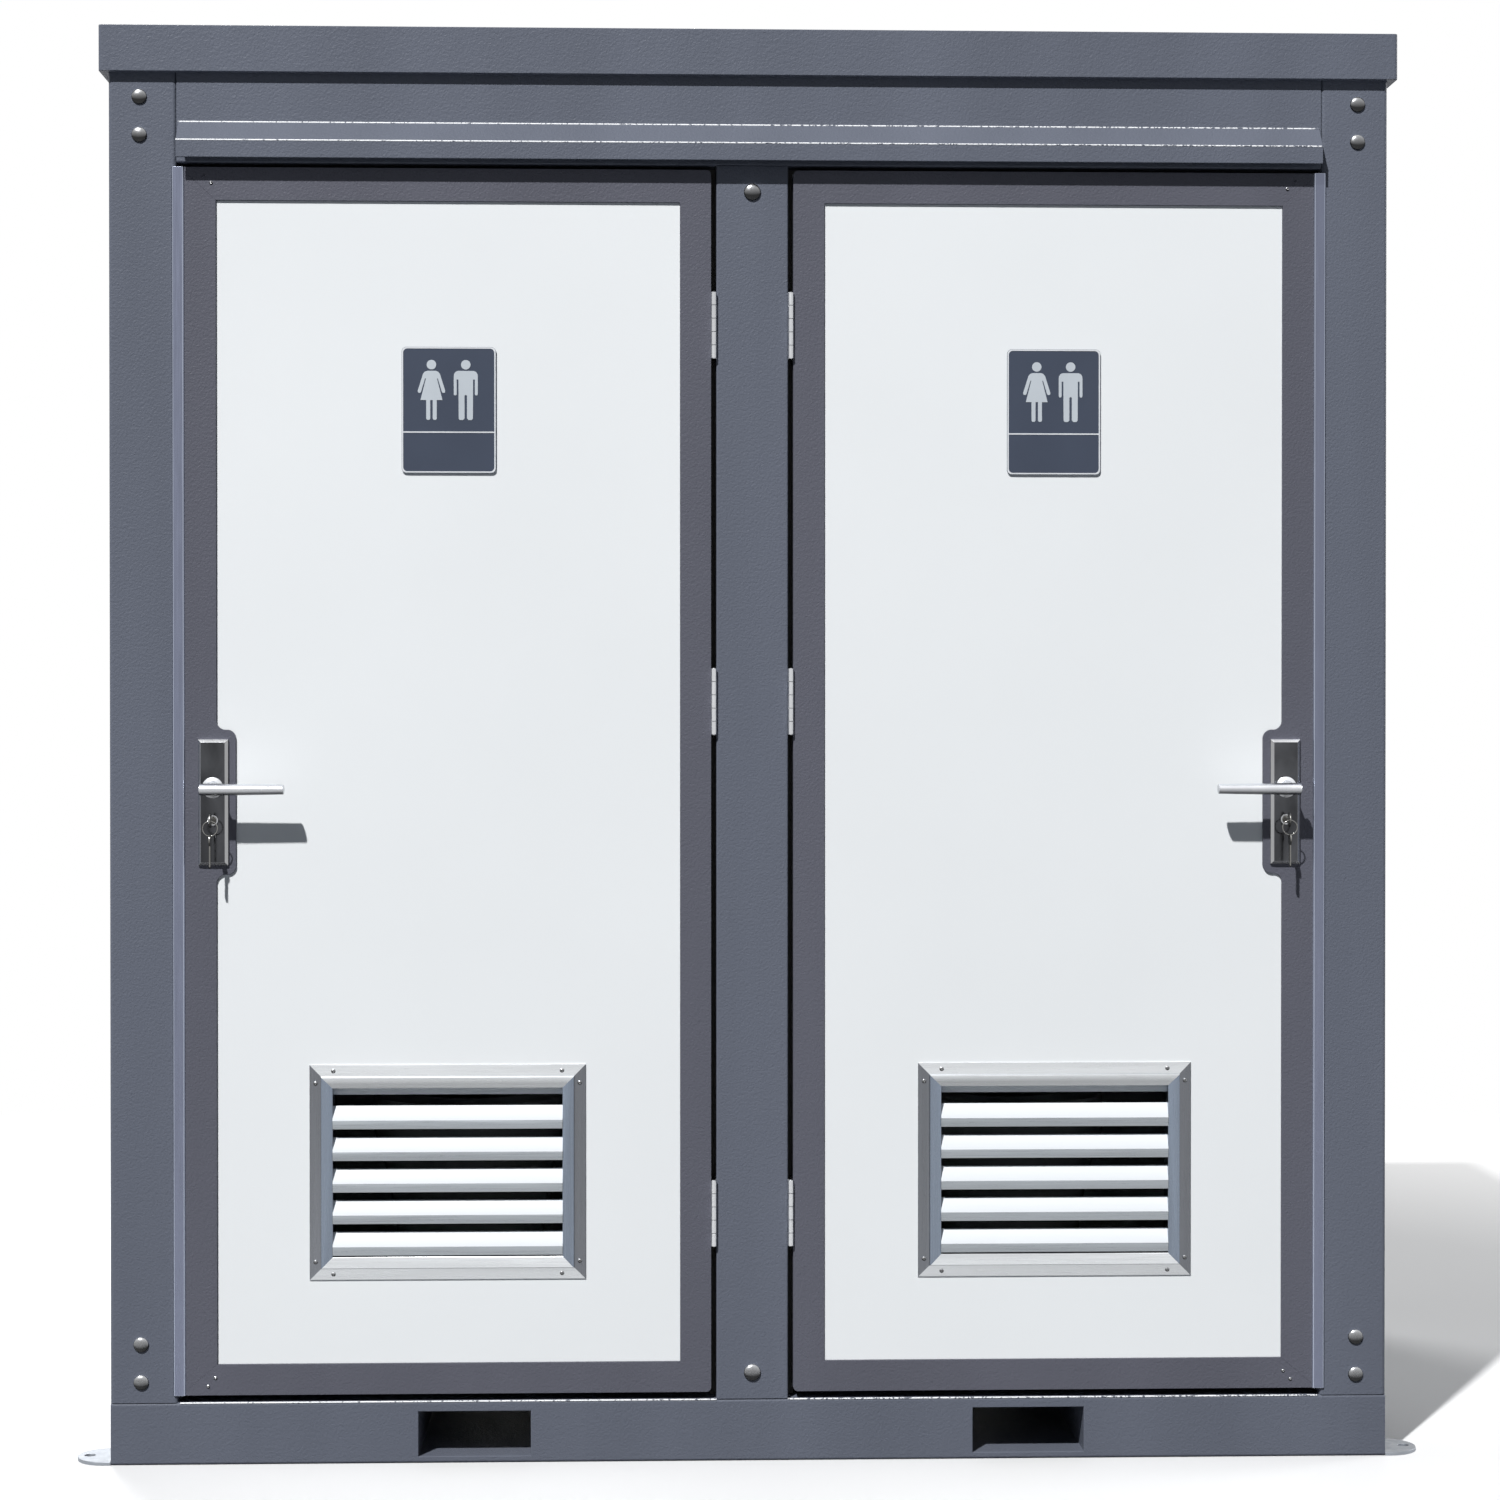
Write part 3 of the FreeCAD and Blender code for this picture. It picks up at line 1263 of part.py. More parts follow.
def pipe(name, x, z, radius, bore, collar, end):
    """A pipe stub through the rear wall: round where the next pipe fits, with a collar on the wall."""
    inside = many_sided(f"{name}_in_wall", "+y", x, wall_in_y, z, PIPE_SIDES, radius, wall_out_y - wall_in_y)
    run = rod(f"{name}_run", "+y", x, wall_out_y, z, radius, end - wall_out_y)
    ring = many_sided(f"{name}_collar", "+y", x, wall_out_y, z, PIPE_SIDES, collar, s.collar_thickness)
    return cut(name, fused(f"{name}_outside", inside, run, ring),
               many_sided(f"{name}_bore", "+y", x, wall_in_y, z, PIPE_SIDES, bore, end - wall_in_y))


# Ceiling lights: a square base with a round lens
def make_lights():
    half = s.light_width / 2
    light_y = front + s.header_depth + s.light_width
    base_low = wall_top - s.light_base
    base = block("light_plate", (stall_x - half, stall_x + half), (light_y - half, light_y + half),
                 (base_low, wall_top))
    lens = many_sided("light_lens", "-z", stall_x, light_y, base_low, DISC_SIDES,
                      s.light_lens_radius, s.light_drop)
    both("ceiling_lights", fused("light_right", base, lens))


for make in (make_base, make_posts, make_rails, make_roof, make_panels, make_bolts, make_leaf, make_louvres,
             make_hinges, make_lock, make_seals, make_toilet, make_lights):
    make()
doc.recompute()

# Every object has to be sound before any sub-part is written
for piece in doc.Objects:
    if {"Invalid", "Error"} & set(piece.State):
        raise ValueError(f"{piece.Label} failed: {piece.State}")
for piece in NODES:
    if piece.Shape.isNull() or not piece.Shape.isValid():
        raise ValueError(f"{piece.Label} has no sound shape")

os.makedirs("parts", exist_ok=True)
for piece in NODES:
    piece.Shape.exportStep(f"parts/{piece.Label}.step")
print(f"{len(NODES)} sub-parts, {sum(len(piece.Shape.Solids) for piece in NODES)} solids")
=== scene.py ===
# %% [markdown]
# # A double toilet cabin
# Two toilet stalls stand side by side in one bolted steel frame. Its solids come from CAD, packed
# as a fixed frame in metres. This lesson gives each of them its finish and adds the parts that
# are too fine for a CAD model, such as bolt heads, hinge barrels, screws and sign figures.

# %% Load the frame
import json
import math

import bmesh
import bpy
from mathutils import Matrix, Vector


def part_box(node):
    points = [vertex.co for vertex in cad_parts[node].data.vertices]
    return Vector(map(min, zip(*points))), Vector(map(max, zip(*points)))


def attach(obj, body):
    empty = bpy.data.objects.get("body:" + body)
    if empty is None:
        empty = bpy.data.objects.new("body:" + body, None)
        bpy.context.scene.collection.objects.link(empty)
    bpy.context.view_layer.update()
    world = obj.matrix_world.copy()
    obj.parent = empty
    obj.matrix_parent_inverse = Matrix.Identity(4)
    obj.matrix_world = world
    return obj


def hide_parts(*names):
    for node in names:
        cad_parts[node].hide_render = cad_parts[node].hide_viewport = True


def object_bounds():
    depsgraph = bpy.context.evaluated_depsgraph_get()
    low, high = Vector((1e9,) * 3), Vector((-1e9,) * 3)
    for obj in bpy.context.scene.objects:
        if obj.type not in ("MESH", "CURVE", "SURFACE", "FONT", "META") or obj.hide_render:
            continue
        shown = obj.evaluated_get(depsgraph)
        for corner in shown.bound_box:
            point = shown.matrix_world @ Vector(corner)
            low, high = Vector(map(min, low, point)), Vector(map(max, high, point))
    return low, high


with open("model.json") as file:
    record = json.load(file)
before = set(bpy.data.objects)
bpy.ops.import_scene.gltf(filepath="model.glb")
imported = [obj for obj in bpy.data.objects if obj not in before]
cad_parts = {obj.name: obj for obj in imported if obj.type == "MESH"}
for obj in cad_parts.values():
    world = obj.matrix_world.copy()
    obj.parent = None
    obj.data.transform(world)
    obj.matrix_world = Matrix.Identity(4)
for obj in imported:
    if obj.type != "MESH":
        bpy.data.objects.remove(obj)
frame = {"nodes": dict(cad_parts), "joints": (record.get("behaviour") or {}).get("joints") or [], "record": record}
for imported in list(bpy.data.materials):
    bpy.data.materials.remove(imported)
cad_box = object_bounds()

# %% [markdown]
# ## Making a piece
# A piece starts as a bmesh, Blender's mesh for editing. It is shaped by operators, its double
# points are merged and its faces are turned outwards. Then it becomes an object that rides on one
# CAD body, so that it moves with a door, a lever or a seat. Shading is smooth, with sharp edges
# wherever two faces meet at more than the crease angle. Finishes are kept by name, and a piece
# takes the one that is named like its slot, unless others are given.

# %% Turn a bmesh into a piece
MM = 0.001
SIDES = {"right": 1, "left": -1}
SHARP_ANGLE = math.radians(35)
finishes = {}


def add_piece(name, bm, body, slot, *finish_names, replaces=(), crease=35):
    bmesh.ops.remove_doubles(bm, verts=bm.verts, dist=0.01 * MM)
    bmesh.ops.recalc_face_normals(bm, faces=bm.faces)
    mesh = bpy.data.meshes.new(name)
    bm.to_mesh(mesh)
    bm.free()
    mesh.shade_smooth()
    mesh.set_sharp_from_angle(angle=math.radians(crease))
    for finish_name in finish_names or [slot]:
        mesh.materials.append(finishes[finish_name])
    piece = bpy.data.objects.new(name, mesh)
    bpy.context.scene.collection.objects.link(piece)
    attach(piece, body)
    if replaces:
        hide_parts(*replaces)
    print(f"{name}: {len(mesh.polygons)} faces")


def add_to_each_side(name, build, body, slot, *finish_names, replaces=(), crease=35):
    """Build the right-hand piece, and its mirror image for the left-hand door or stall."""
    for side, mirror in SIDES.items():
        bm = build()
        bmesh.ops.scale(bm, vec=(mirror, 1, 1), verts=bm.verts)
        add_piece(f"{side}_{name}", bm, f"{side}_{body}", slot, *finish_names,
                  replaces=[f"{side}_{node}" for node in replaces], crease=crease)


# %% [markdown]
# ## Tools for shaping
# Most shapes grow from a ring of edges that is extruded step by step, and no real edge is quite
# sharp. The tools here do what comes back for nearly every piece: they draw a ring, extrude it,
# ease edges, mirror a half, and give what was just added its finish and its place.

# %% Rings, eased edges and mirrored halves
def finish_new(bm, before, finish, matrix):
    """Give what was added since before the finish of that number, and move it into place."""
    made = [vert for vert in bm.verts if vert not in before]
    for face in {face for vert in made for face in vert.link_faces}:
        face.material_index = finish
    bmesh.ops.transform(bm, matrix=matrix, verts=made)


def closed_ring(bm, points):
    """The edges of a closed outline through points."""
    ring = [bm.verts.new(point) for point in points]
    return [bm.edges.new((ring[turn - 1], ring[turn])) for turn in range(len(ring))]


def extrude_ring(bm, edges):
    """Extrude edges, and give the points and the edges at their new end."""
    grown = bmesh.ops.extrude_edge_only(bm, edges=edges)["geom"]
    return ([item for item in grown if isinstance(item, bmesh.types.BMVert)],
            [item for item in grown if isinstance(item, bmesh.types.BMEdge)])


def bevel_edges(bm, edges, width):
    bmesh.ops.bevel(bm, geom=edges, offset=width, offset_type="OFFSET", segments=2, profile=0.5,
                    affect="EDGES", material=-1, clamp_overlap=True)


def ease_edges(bm, width):
    """Round every edge whose faces meet at more than SHARP_ANGLE."""
    bevel_edges(bm, [edge for edge in bm.edges if len(edge.link_faces) == 2
                     and edge.calc_face_angle() > SHARP_ANGLE], width)


def add_mirrored(bm, axis, level=0.0):
    """Add the mirror image of everything, across the plane at that level of an axis."""
    away = Matrix.Translation([-level if name == axis else 0 for name in "XYZ"])
    bmesh.ops.mirror(bm, geom=bm.verts[:] + bm.edges[:] + bm.faces[:], axis=axis, merge_dist=0,
                     matrix=away)


# %% [markdown]
# ## Four shapes that most of the cabin is made of
# Folded sheet and flat bar are blocks with eased edges. Bolts, barrels and screws are turned on a
# lathe, so their profile is spun round an axis. Stamped shapes such as a sign figure are an
# outline with a thickness. Picture-frame trims, such as round a louvre, are one profile carried
# round a rectangle: the rectangle's edges are extruded and scaled from each point of the profile
# to the next, which makes the mitred corners by itself.

# %% Blocks and turned parts
def add_block(bm, low, high, ease=0.4 * MM):
    low, high = Vector(low), Vector(high)
    place = Matrix.Translation((low + high) / 2) @ Matrix.Diagonal((*(high - low), 1))
    corners = bmesh.ops.create_cube(bm, size=1, matrix=place)["verts"]
    bevel_edges(bm, [edge for edge in bm.edges if edge.verts[0] in corners], ease)


def add_turned(bm, profile, place, towards, steps=32, finish=0):
    """Spin a profile of (radius, height) pairs round an axis from place towards a direction."""
    before = set(bm.verts)
    points = [bm.verts.new((radius, 0, height)) for radius, height in profile]
    edges = [bm.edges.new(pair) for pair in zip(points, points[1:])]
    bmesh.ops.spin(bm, geom=points + edges, cent=(0, 0, 0), axis=(0, 0, 1), dvec=(0, 0, 0),
                   angle=2 * math.pi, steps=steps, use_merge=True)
    turn = Vector((0, 0, 1)).rotation_difference(Vector(towards)).to_matrix().to_4x4()
    finish_new(bm, before, finish, Matrix.Translation(place) @ turn)


def dome(radius, height, brim=0.0, steps=8):
    """The profile of a dome of that radius and height on a low upright brim."""
    turns = [math.pi / 2 * step / steps for step in range(steps + 1)]
    return [(0, 0), (radius, 0)] + [(radius * math.cos(turn), brim + (height - brim) * math.sin(turn))
                                    for turn in turns]


def drum(radius, length):
    """The profile of a plain round bar or disc."""
    return [(0, 0), (radius, 0), (radius, length), (0, length)]


def barrel(radius, length, chamfer=0.5 * MM):
    """The profile of a turned pin with a small chamfer at both ends."""
    return [(0, 0), (radius - chamfer, 0), (radius, chamfer), (radius, length - chamfer),
            (radius - chamfer, length), (0, length)]


# %% Stamped plates and mitred frames
def add_plate(bm, outline, thickness, place, finish=0, holes=()):
    """Give an outline of (across, up) pairs a thickness, with its holes, and set it up in place."""
    before = set(bm.verts)
    edges = []
    for loop in (outline, *holes):
        edges += closed_ring(bm, [(across, up, 0) for across, up in loop])
    filled = bmesh.ops.triangle_fill(bm, use_beauty=True, use_dissolve=False, edges=edges)["geom"]
    faces = [item for item in filled if isinstance(item, bmesh.types.BMFace)]
    grown = bmesh.ops.extrude_face_region(bm, geom=faces)["geom"]
    bmesh.ops.translate(bm, vec=(0, 0, thickness),
                        verts=[item for item in grown if isinstance(item, bmesh.types.BMVert)])
    finish_new(bm, before, finish, place)


def arc(x, y, radius, start, turn, steps=12):
    """Points round a centre, from a direction and by a turn that are both in degrees."""
    angles = [math.radians(start + turn * step / steps) for step in range(steps + 1)]
    return [(x + radius * math.cos(angle), y + radius * math.sin(angle)) for angle in angles]


def circle(x, y, radius, count):
    """That many points round a centre."""
    return arc(x, y, radius, 0, 360 - 360 / count, count - 1)


def facing_front(x, y, z):
    """The place of an outline drawn across and up, seen from the front, with its back at y."""
    return Matrix.Translation((x, y, z)) @ Matrix.Rotation(math.pi / 2, 4, "X")


def rounded_outline(width, height, corner=0.0, steps=8):
    """A rectangle's corners, or the arcs at its corners, anticlockwise."""
    outline = []
    for turn in range(4):
        across = width / 2 - corner if turn in (0, 3) else corner - width / 2
        up = height / 2 - corner if turn < 2 else corner - height / 2
        for step in range(steps + 1 if corner else 1):
            angle = math.pi / 2 * (turn + step / steps)
            outline.append((across + corner * math.cos(angle), up + corner * math.sin(angle)))
    return outline


def add_frame(bm, width, height, profile, place, corner=0.0, finish=0):
    """Carry a closed profile of (inset, rise) pairs round a rectangle."""
    before = set(bm.verts)
    (inset, rise), *others = profile
    outline = rounded_outline(width - 2 * inset, height - 2 * inset, corner)
    ring = [bm.verts.new((across, up, rise)) for across, up in outline]
    edges = [bm.edges.new((ring[turn], ring[turn - 1])) for turn in range(len(ring))]
    for next_inset, next_rise in others + [profile[0]]:
        verts, edges = extrude_ring(bm, edges)
        stretch = [(span - 2 * next_inset) / (span - 2 * inset) for span in (width, height)]
        bmesh.ops.scale(bm, vec=(*stretch, 1), verts=verts)
        bmesh.ops.translate(bm, vec=(0, 0, next_rise - rise), verts=verts)
        inset, rise = next_inset, next_rise
    finish_new(bm, before, finish, place)


# %% [markdown]
# ## Softened edges on the CAD's own solids
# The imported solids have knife-sharp edges, and a real fold or casting has not: a fine bevel
# catches the light. A CAD mesh is never changed, so a copy of it is merged, its flat faces are
# joined again, and a Bevel modifier eases what is left.

# %% Copy a node with eased edges
slot_of = {row["node"]: row["material_slot"] for row in frame["record"]["subparts"]}
body_of = {node: body for body, nodes in frame["record"]["behaviour"]["bodies"].items()
           for node in nodes}


def islands(bm):
    """The points of a bmesh, grouped by the separate solids that they belong to."""
    waiting = set(bm.verts)
    groups = []
    for start in bm.verts:
        if start not in waiting:
            continue
        waiting.remove(start)
        group = [start]
        for vert in group:
            for edge in vert.link_edges:
                other = edge.other_vert(vert)
                if other in waiting:
                    waiting.remove(other)
                    group.append(other)
        groups.append(group)
    return groups


def box_round(points):
    """The lowest and highest corner of the box round points."""
    return tuple(Vector(map(pick, *points)) for pick in (min, max))


def merged_copy(node):
    """A node's mesh with its points merged and its flat faces joined."""
    bm = bmesh.new()
    bm.from_mesh(frame["nodes"][node].data)
    bmesh.ops.remove_doubles(bm, verts=bm.verts, dist=0.01 * MM)
    bmesh.ops.dissolve_limit(bm, angle_limit=math.radians(0.5), verts=bm.verts, edges=bm.edges,
                             use_dissolve_boundaries=False, delimit=set())
    return bm


def soften(node, width, finish=None, front=None, edge=None):
    """Replace a node by a copy with eased edges. Front, rear and edges may differ in finish."""
    bm = merged_copy(node)
    for face in bm.faces:
        face.material_index = int(front is not None and abs(face.normal.y) > 0.99)
    mesh = bpy.data.meshes.new(f"{node}_eased")
    bm.to_mesh(mesh)
    bm.free()
    mesh.shade_smooth()
    for finish_name in filter(None, (finish or slot_of[node], front, edge)):
        mesh.materials.append(finishes[finish_name])
    piece = bpy.data.objects.new(f"{node}_eased", mesh)
    bpy.context.scene.collection.objects.link(piece)
    bevel = piece.modifiers.new("eased edges", "BEVEL")
    bevel.width = width
    bevel.segments = 2
    bevel.limit_method = "ANGLE"
    bevel.angle_limit = SHARP_ANGLE
    if edge:
        bevel.material = len(mesh.materials) - 1
    flatten = piece.modifiers.new("flat faces stay flat", "WEIGHTED_NORMAL")
    flatten.mode = "FACE_AREA"
    flatten.weight = 100
    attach(piece, body_of[node])
    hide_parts(node)


# %% [markdown]
# ## Finishes
# Each finish is one Principled shader. Where the real surface varies, noise on the object's own
# coordinates drives its colour, roughness or bump, so the pattern stays still on the piece.

# %% Helpers for shader nodes
def shader_input(finish, socket):
    return finish.node_tree.nodes["Principled BSDF"].inputs[socket]


def new_finish(name, colour, roughness, metallic=0.0, **sockets):
    """A material with a Principled shader whose plain values are set on its own sockets."""
    finish = bpy.data.materials.new(name)
    finish.use_nodes = True
    shader_input(finish, "Base Color").default_value = (*colour, 1)
    shader_input(finish, "Roughness").default_value = roughness
    shader_input(finish, "Metallic").default_value = metallic
    for socket, value in sockets.items():
        shader_input(finish, socket.replace("_", " ")).default_value = value
    finishes[name] = finish
    return finish


def add_node(finish, kind, **settings):
    node = finish.node_tree.nodes.new(kind)
    for setting, value in settings.items():
        setattr(node, setting, value)
    return node


# %% Noise that drives colour, roughness and bump
def add_noise(finish, scale, detail=3.0, stretch=(1, 1, 1), warp=0.0):
    """Noise on object coordinates, drawn out where stretch is below one."""
    link = finish.node_tree.links.new
    where = add_node(finish, "ShaderNodeTexCoord")
    mapping = add_node(finish, "ShaderNodeMapping")
    mapping.inputs["Scale"].default_value = stretch
    noise = add_node(finish, "ShaderNodeTexNoise")
    noise.inputs["Scale"].default_value = scale
    noise.inputs["Detail"].default_value = detail
    noise.inputs["Distortion"].default_value = warp
    link(where.outputs["Object"], mapping.inputs["Vector"])
    link(mapping.outputs["Vector"], noise.inputs["Vector"])
    return noise.outputs["Fac"]


def spread(finish, value, low, high, start=0.3, end=0.7):
    """Stretch the noise between start and end to the range from low to high."""
    ranged = add_node(finish, "ShaderNodeMapRange")
    for socket, number in (("From Min", start), ("From Max", end), ("To Min", low), ("To Max", high)):
        ranged.inputs[socket].default_value = number
    finish.node_tree.links.new(value, ranged.inputs["Value"])
    return ranged.outputs["Result"]


def vary_colour(finish, value, one, other):
    """Blend two colours by a value from 0 to 1, and give them to the shader."""
    mix = add_node(finish, "ShaderNodeMix", data_type="RGBA")
    # A Mix node has sockets of the same name for numbers, vectors and colours, so these go by number
    mix.inputs[6].default_value = (*one, 1)
    mix.inputs[7].default_value = (*other, 1)
    link = finish.node_tree.links.new
    link(value, mix.inputs["Factor"])
    link(mix.outputs[2], shader_input(finish, "Base Color"))
    return mix.outputs[2]


def vary_roughness(finish, value):
    finish.node_tree.links.new(value, shader_input(finish, "Roughness"))


def add_bump(finish, value, depth, strength=1.0):
    bump = add_node(finish, "ShaderNodeBump")
    bump.inputs["Distance"].default_value = depth
    bump.inputs["Strength"].default_value = strength
    link = finish.node_tree.links.new
    link(value, bump.inputs["Height"])
    link(bump.outputs["Normal"], shader_input(finish, "Normal"))


def shade(colour, factor):
    return tuple(channel * factor for channel in colour)


# %% [markdown]
# ### Powder coat
# The frame and the door stiles are sprayed with a textured powder that bakes to a fine wrinkle,
# about two millimetres from crest to crest. It scatters the light, so the gloss is broad. The
# colour shifts a little over each post, and rain leaves faint streaks that run down.

# %% Textured powder coat
def powder_coat(name, colour):
    finish = new_finish(name, colour, 0.45, Specular_IOR_Level=0.16)
    streaks = add_noise(finish, 6, detail=4, stretch=(1, 1, 0.12))
    vary_colour(finish, spread(finish, streaks, 0, 1), shade(colour, 0.93), shade(colour, 1.06))
    wrinkle = add_noise(finish, 240, detail=3.5, warp=0.6)
    vary_roughness(finish, spread(finish, wrinkle, 0.52, 0.38))
    add_bump(finish, wrinkle, 1.0 * MM)


colours = {row["slot"]: tuple(row["base_color"]) for row in frame["record"]["materials"]}
frame_red, frame_green, frame_blue = colours["frame_paint"]
slate = (frame_red, frame_green * 0.95, frame_blue * 1.02)
powder_coat("frame_paint", slate)
powder_coat("door_paint", shade(colours["door_paint"], 0.9))

# %% [markdown]
# ### Coated panels
# The white panels are steel sheet, painted as a coil before it was formed. The coat is smooth
# with a low gloss, so only its tone varies a little, and its grain is too fine to see from afar.

# %% Coil-coated panel
def coated_panel(name, colour):
    finish = new_finish(name, colour, 0.38, Specular_IOR_Level=0.2)
    clouds = add_noise(finish, 2.2, detail=5)
    vary_colour(finish, spread(finish, clouds, 0, 1), shade(colour, 0.985), shade(colour, 1.01))
    grain = add_noise(finish, 700, detail=2)
    add_bump(finish, grain, 0.03 * MM, strength=0.35)


coated_panel("white_panel", shade(colours["white_panel"], 1.07))

# %% [markdown]
# ### Metals
# Bright zinc, satin stainless steel, polished steel, anodised aluminium and brass differ in
# colour and roughness. Handling and drawing leave fine marks, so noise moves the roughness, and
# on drawn metal it is drawn out along the grain. Shiny metal carries a painted reflection of a
# darker ground: its colour is toned down where it faces down. A trim's upright members take
# darker copies of the aluminium, painted shade that sets them apart from the level members.

# %% Bare and plated metals
def paint_ground_reflection(finish, colour, share, start, end):
    """Painted reflection of the ground: scale a colour down to a share of itself as it faces down."""
    link = finish.node_tree.links.new
    surface = add_node(finish, "ShaderNodeNewGeometry")
    parts = add_node(finish, "ShaderNodeSeparateXYZ")
    link(surface.outputs["Normal"], parts.inputs["Vector"])
    scaled = add_node(finish, "ShaderNodeVectorMath", operation="SCALE")
    link(colour, scaled.inputs[0])
    link(spread(finish, parts.outputs["Z"], share, 1, start, end), scaled.inputs["Scale"])
    link(scaled.outputs["Vector"], shader_input(finish, "Base Color"))


def metal(name, colour, smooth, rough, scale=120, stretch=(1, 1, 1), depth=0.0, below=1.0,
          between=(-0.6, 0.5)):
    """Marked metal, with a painted ground reflection that tones it down to the share below."""
    finish = new_finish(name, colour, rough, metallic=1.0)
    marks = add_noise(finish, scale, detail=5, stretch=stretch)
    vary_roughness(finish, spread(finish, marks, smooth, rough))
    tarnish = add_noise(finish, scale / 8, detail=4, stretch=stretch)
    varied = vary_colour(finish, spread(finish, tarnish, 0, 1), shade(colour, 0.9), shade(colour, 1.05))
    if below < 1:
        paint_ground_reflection(finish, varied, below, *between)
    if depth:
        add_bump(finish, marks, depth, strength=0.4)


# Where below is less than one, the darker side that faces down is a painted reflection of the ground.
metal("bolt_steel", colours["bolt_steel"], 0.18, 0.34, scale=300, below=0.05, between=(-0.2, 0.8))
metal("hinge_steel", colours["hinge_steel"], 0.2, 0.36, scale=260, stretch=(1, 1, 0.1), depth=0.02 * MM)
metal("polished_steel", (0.86, 0.88, 0.92), 0.16, 0.3, scale=60, below=0.13, between=(-0.7, 0.5))
metal("polished_bevel", (0.9, 0.91, 0.93), 0.1, 0.2, scale=60, below=0.16, between=(-0.2, 0.5))
metal("key_steel", shade(colours["key_steel"], 0.6), 0.12, 0.3, scale=400, below=0.08,
      between=(-0.4, 0.6))
metal("vent_aluminium", (0.66, 0.68, 0.70), 0.24, 0.36, scale=500,
      stretch=(0.02, 1, 1), depth=0.04 * MM, below=0.5, between=(-0.12, 0.0))
# Painted shade: a darker copy of the aluminium for the blades' lips.
metal("blade_lip", (0.32, 0.345, 0.37), 0.24, 0.36, scale=500,
      stretch=(0.02, 1, 1), depth=0.04 * MM)
# Painted shade: darker copies of the aluminium for a trim's upright members.
metal("upright_aluminium", shade(colours["vent_aluminium"], 0.27), 0.24, 0.36, scale=500,
      stretch=(1, 1, 0.02), depth=0.02 * MM)
metal("upright_ridge", (0.2, 0.235, 0.29), 0.2, 0.3, scale=500,
      stretch=(1, 1, 0.02), depth=0.02 * MM)
# Painted sky reflection: the strip's face is a darker, blue-tinted copy of its aluminium, and its eased edges take
# the full colour, a painted highlight.
strip_red, strip_green, strip_blue = shade(colours["strip_aluminium"], 0.41)
metal("strip_aluminium", (strip_red, strip_green, strip_blue * 1.12), 0.25, 0.4, scale=300,
      stretch=(1, 1, 0.04), depth=0.02 * MM)
metal("strip_edge", colours["strip_aluminium"], 0.2, 0.3, scale=300, stretch=(1, 1, 0.04))
metal("button_chrome", colours["button_chrome"], 0.04, 0.1, scale=200, below=0.3)
metal("inlet_brass", colours["inlet_brass"], 0.22, 0.45, scale=200, below=0.4)

# %% [markdown]
# ### Plastics, rubber, ceramic and floor board
# The glaze is thick and glossy over a white body, so it gets a clear coat. The floor board is
# pressed with a mesh for grip, which two crossed waves draw.

# %% Moulded, glazed and pressed surfaces
def moulded(name, colour, roughness, grain=900, depth=0.03 * MM, **sockets):
    finish = new_finish(name, colour, roughness, **sockets)
    tone = add_noise(finish, 9, detail=4)
    vary_colour(finish, spread(finish, tone, 0, 1), shade(colour, 0.94), shade(colour, 1.05))
    add_bump(finish, add_noise(finish, grain, detail=2), depth, strength=0.4)


moulded("seal_rubber", colours["seal_rubber"], 0.7)
moulded("seat_plastic", colours["seat_plastic"], 0.22, depth=0.01 * MM)
moulded("drain_plastic", colours["drain_plastic"], 0.42)
moulded("lamp_plastic", colours["lamp_plastic"], 0.4, Subsurface_Weight=0.3, Subsurface_Scale=0.01)
moulded("sanitary_ceramic", colours["sanitary_ceramic"], 0.12, grain=25, depth=0.2 * MM,
        Coat_Weight=0.6, Coat_Roughness=0.05)
moulded("sign_plate", colours["sign_plate"], 0.4, grain=1500, Specular_IOR_Level=0.2)


def pressed_board(name, colour):
    finish = new_finish(name, colour, 0.5)
    link = finish.node_tree.links.new
    where = add_node(finish, "ShaderNodeTexCoord")
    ribs = []
    for turn in (45, -45):
        mapping = add_node(finish, "ShaderNodeMapping")
        mapping.inputs["Rotation"].default_value = (0, 0, math.radians(turn))
        wave = add_node(finish, "ShaderNodeTexWave")
        wave.inputs["Scale"].default_value = 55
        link(where.outputs["Object"], mapping.inputs["Vector"])
        link(mapping.outputs["Vector"], wave.inputs["Vector"])
        ribs.append(wave.outputs["Fac"])
    crossed = add_node(finish, "ShaderNodeMath", operation="MAXIMUM")
    link(ribs[0], crossed.inputs[0])
    link(ribs[1], crossed.inputs[1])
    add_bump(finish, crossed.outputs["Value"], 0.6 * MM, strength=0.6)
    wear = add_noise(finish, 5, detail=6)
    vary_colour(finish, spread(finish, wear, 0, 1), shade(colour, 0.85), shade(colour, 1.2))


pressed_board("floor_board", colours["floor_board"])
for node, cad_object in frame["nodes"].items():
    cad_object.data.materials.clear()
    cad_object.data.materials.append(finishes[slot_of[node]])
print(len(finishes), "finishes on", len(frame["nodes"]), "nodes")

# %% [markdown]
# ## Bolt heads
# The frame is held by round-head bolts. CAD draws each as a low eight-sided drum, which marks
# its place and size. Here every drum's box is read back, and a dome with a short upright brim is
# turned in its place, with its axis along the box's thin side and away from the cabin.

# %% Domes for the frame bolts
BOLT_BRIM = 1.2 * MM


def island_boxes(node):
    """The lowest and highest corner of each separate solid of a node, in a fixed order."""
    bm = merged_copy(node)
    boxes = [box_round([vert.co for vert in group]) for group in islands(bm)]
    bm.free()
    return sorted(boxes, key=lambda box: tuple(round(value, 5) for value in (*box[0], *box[1])))


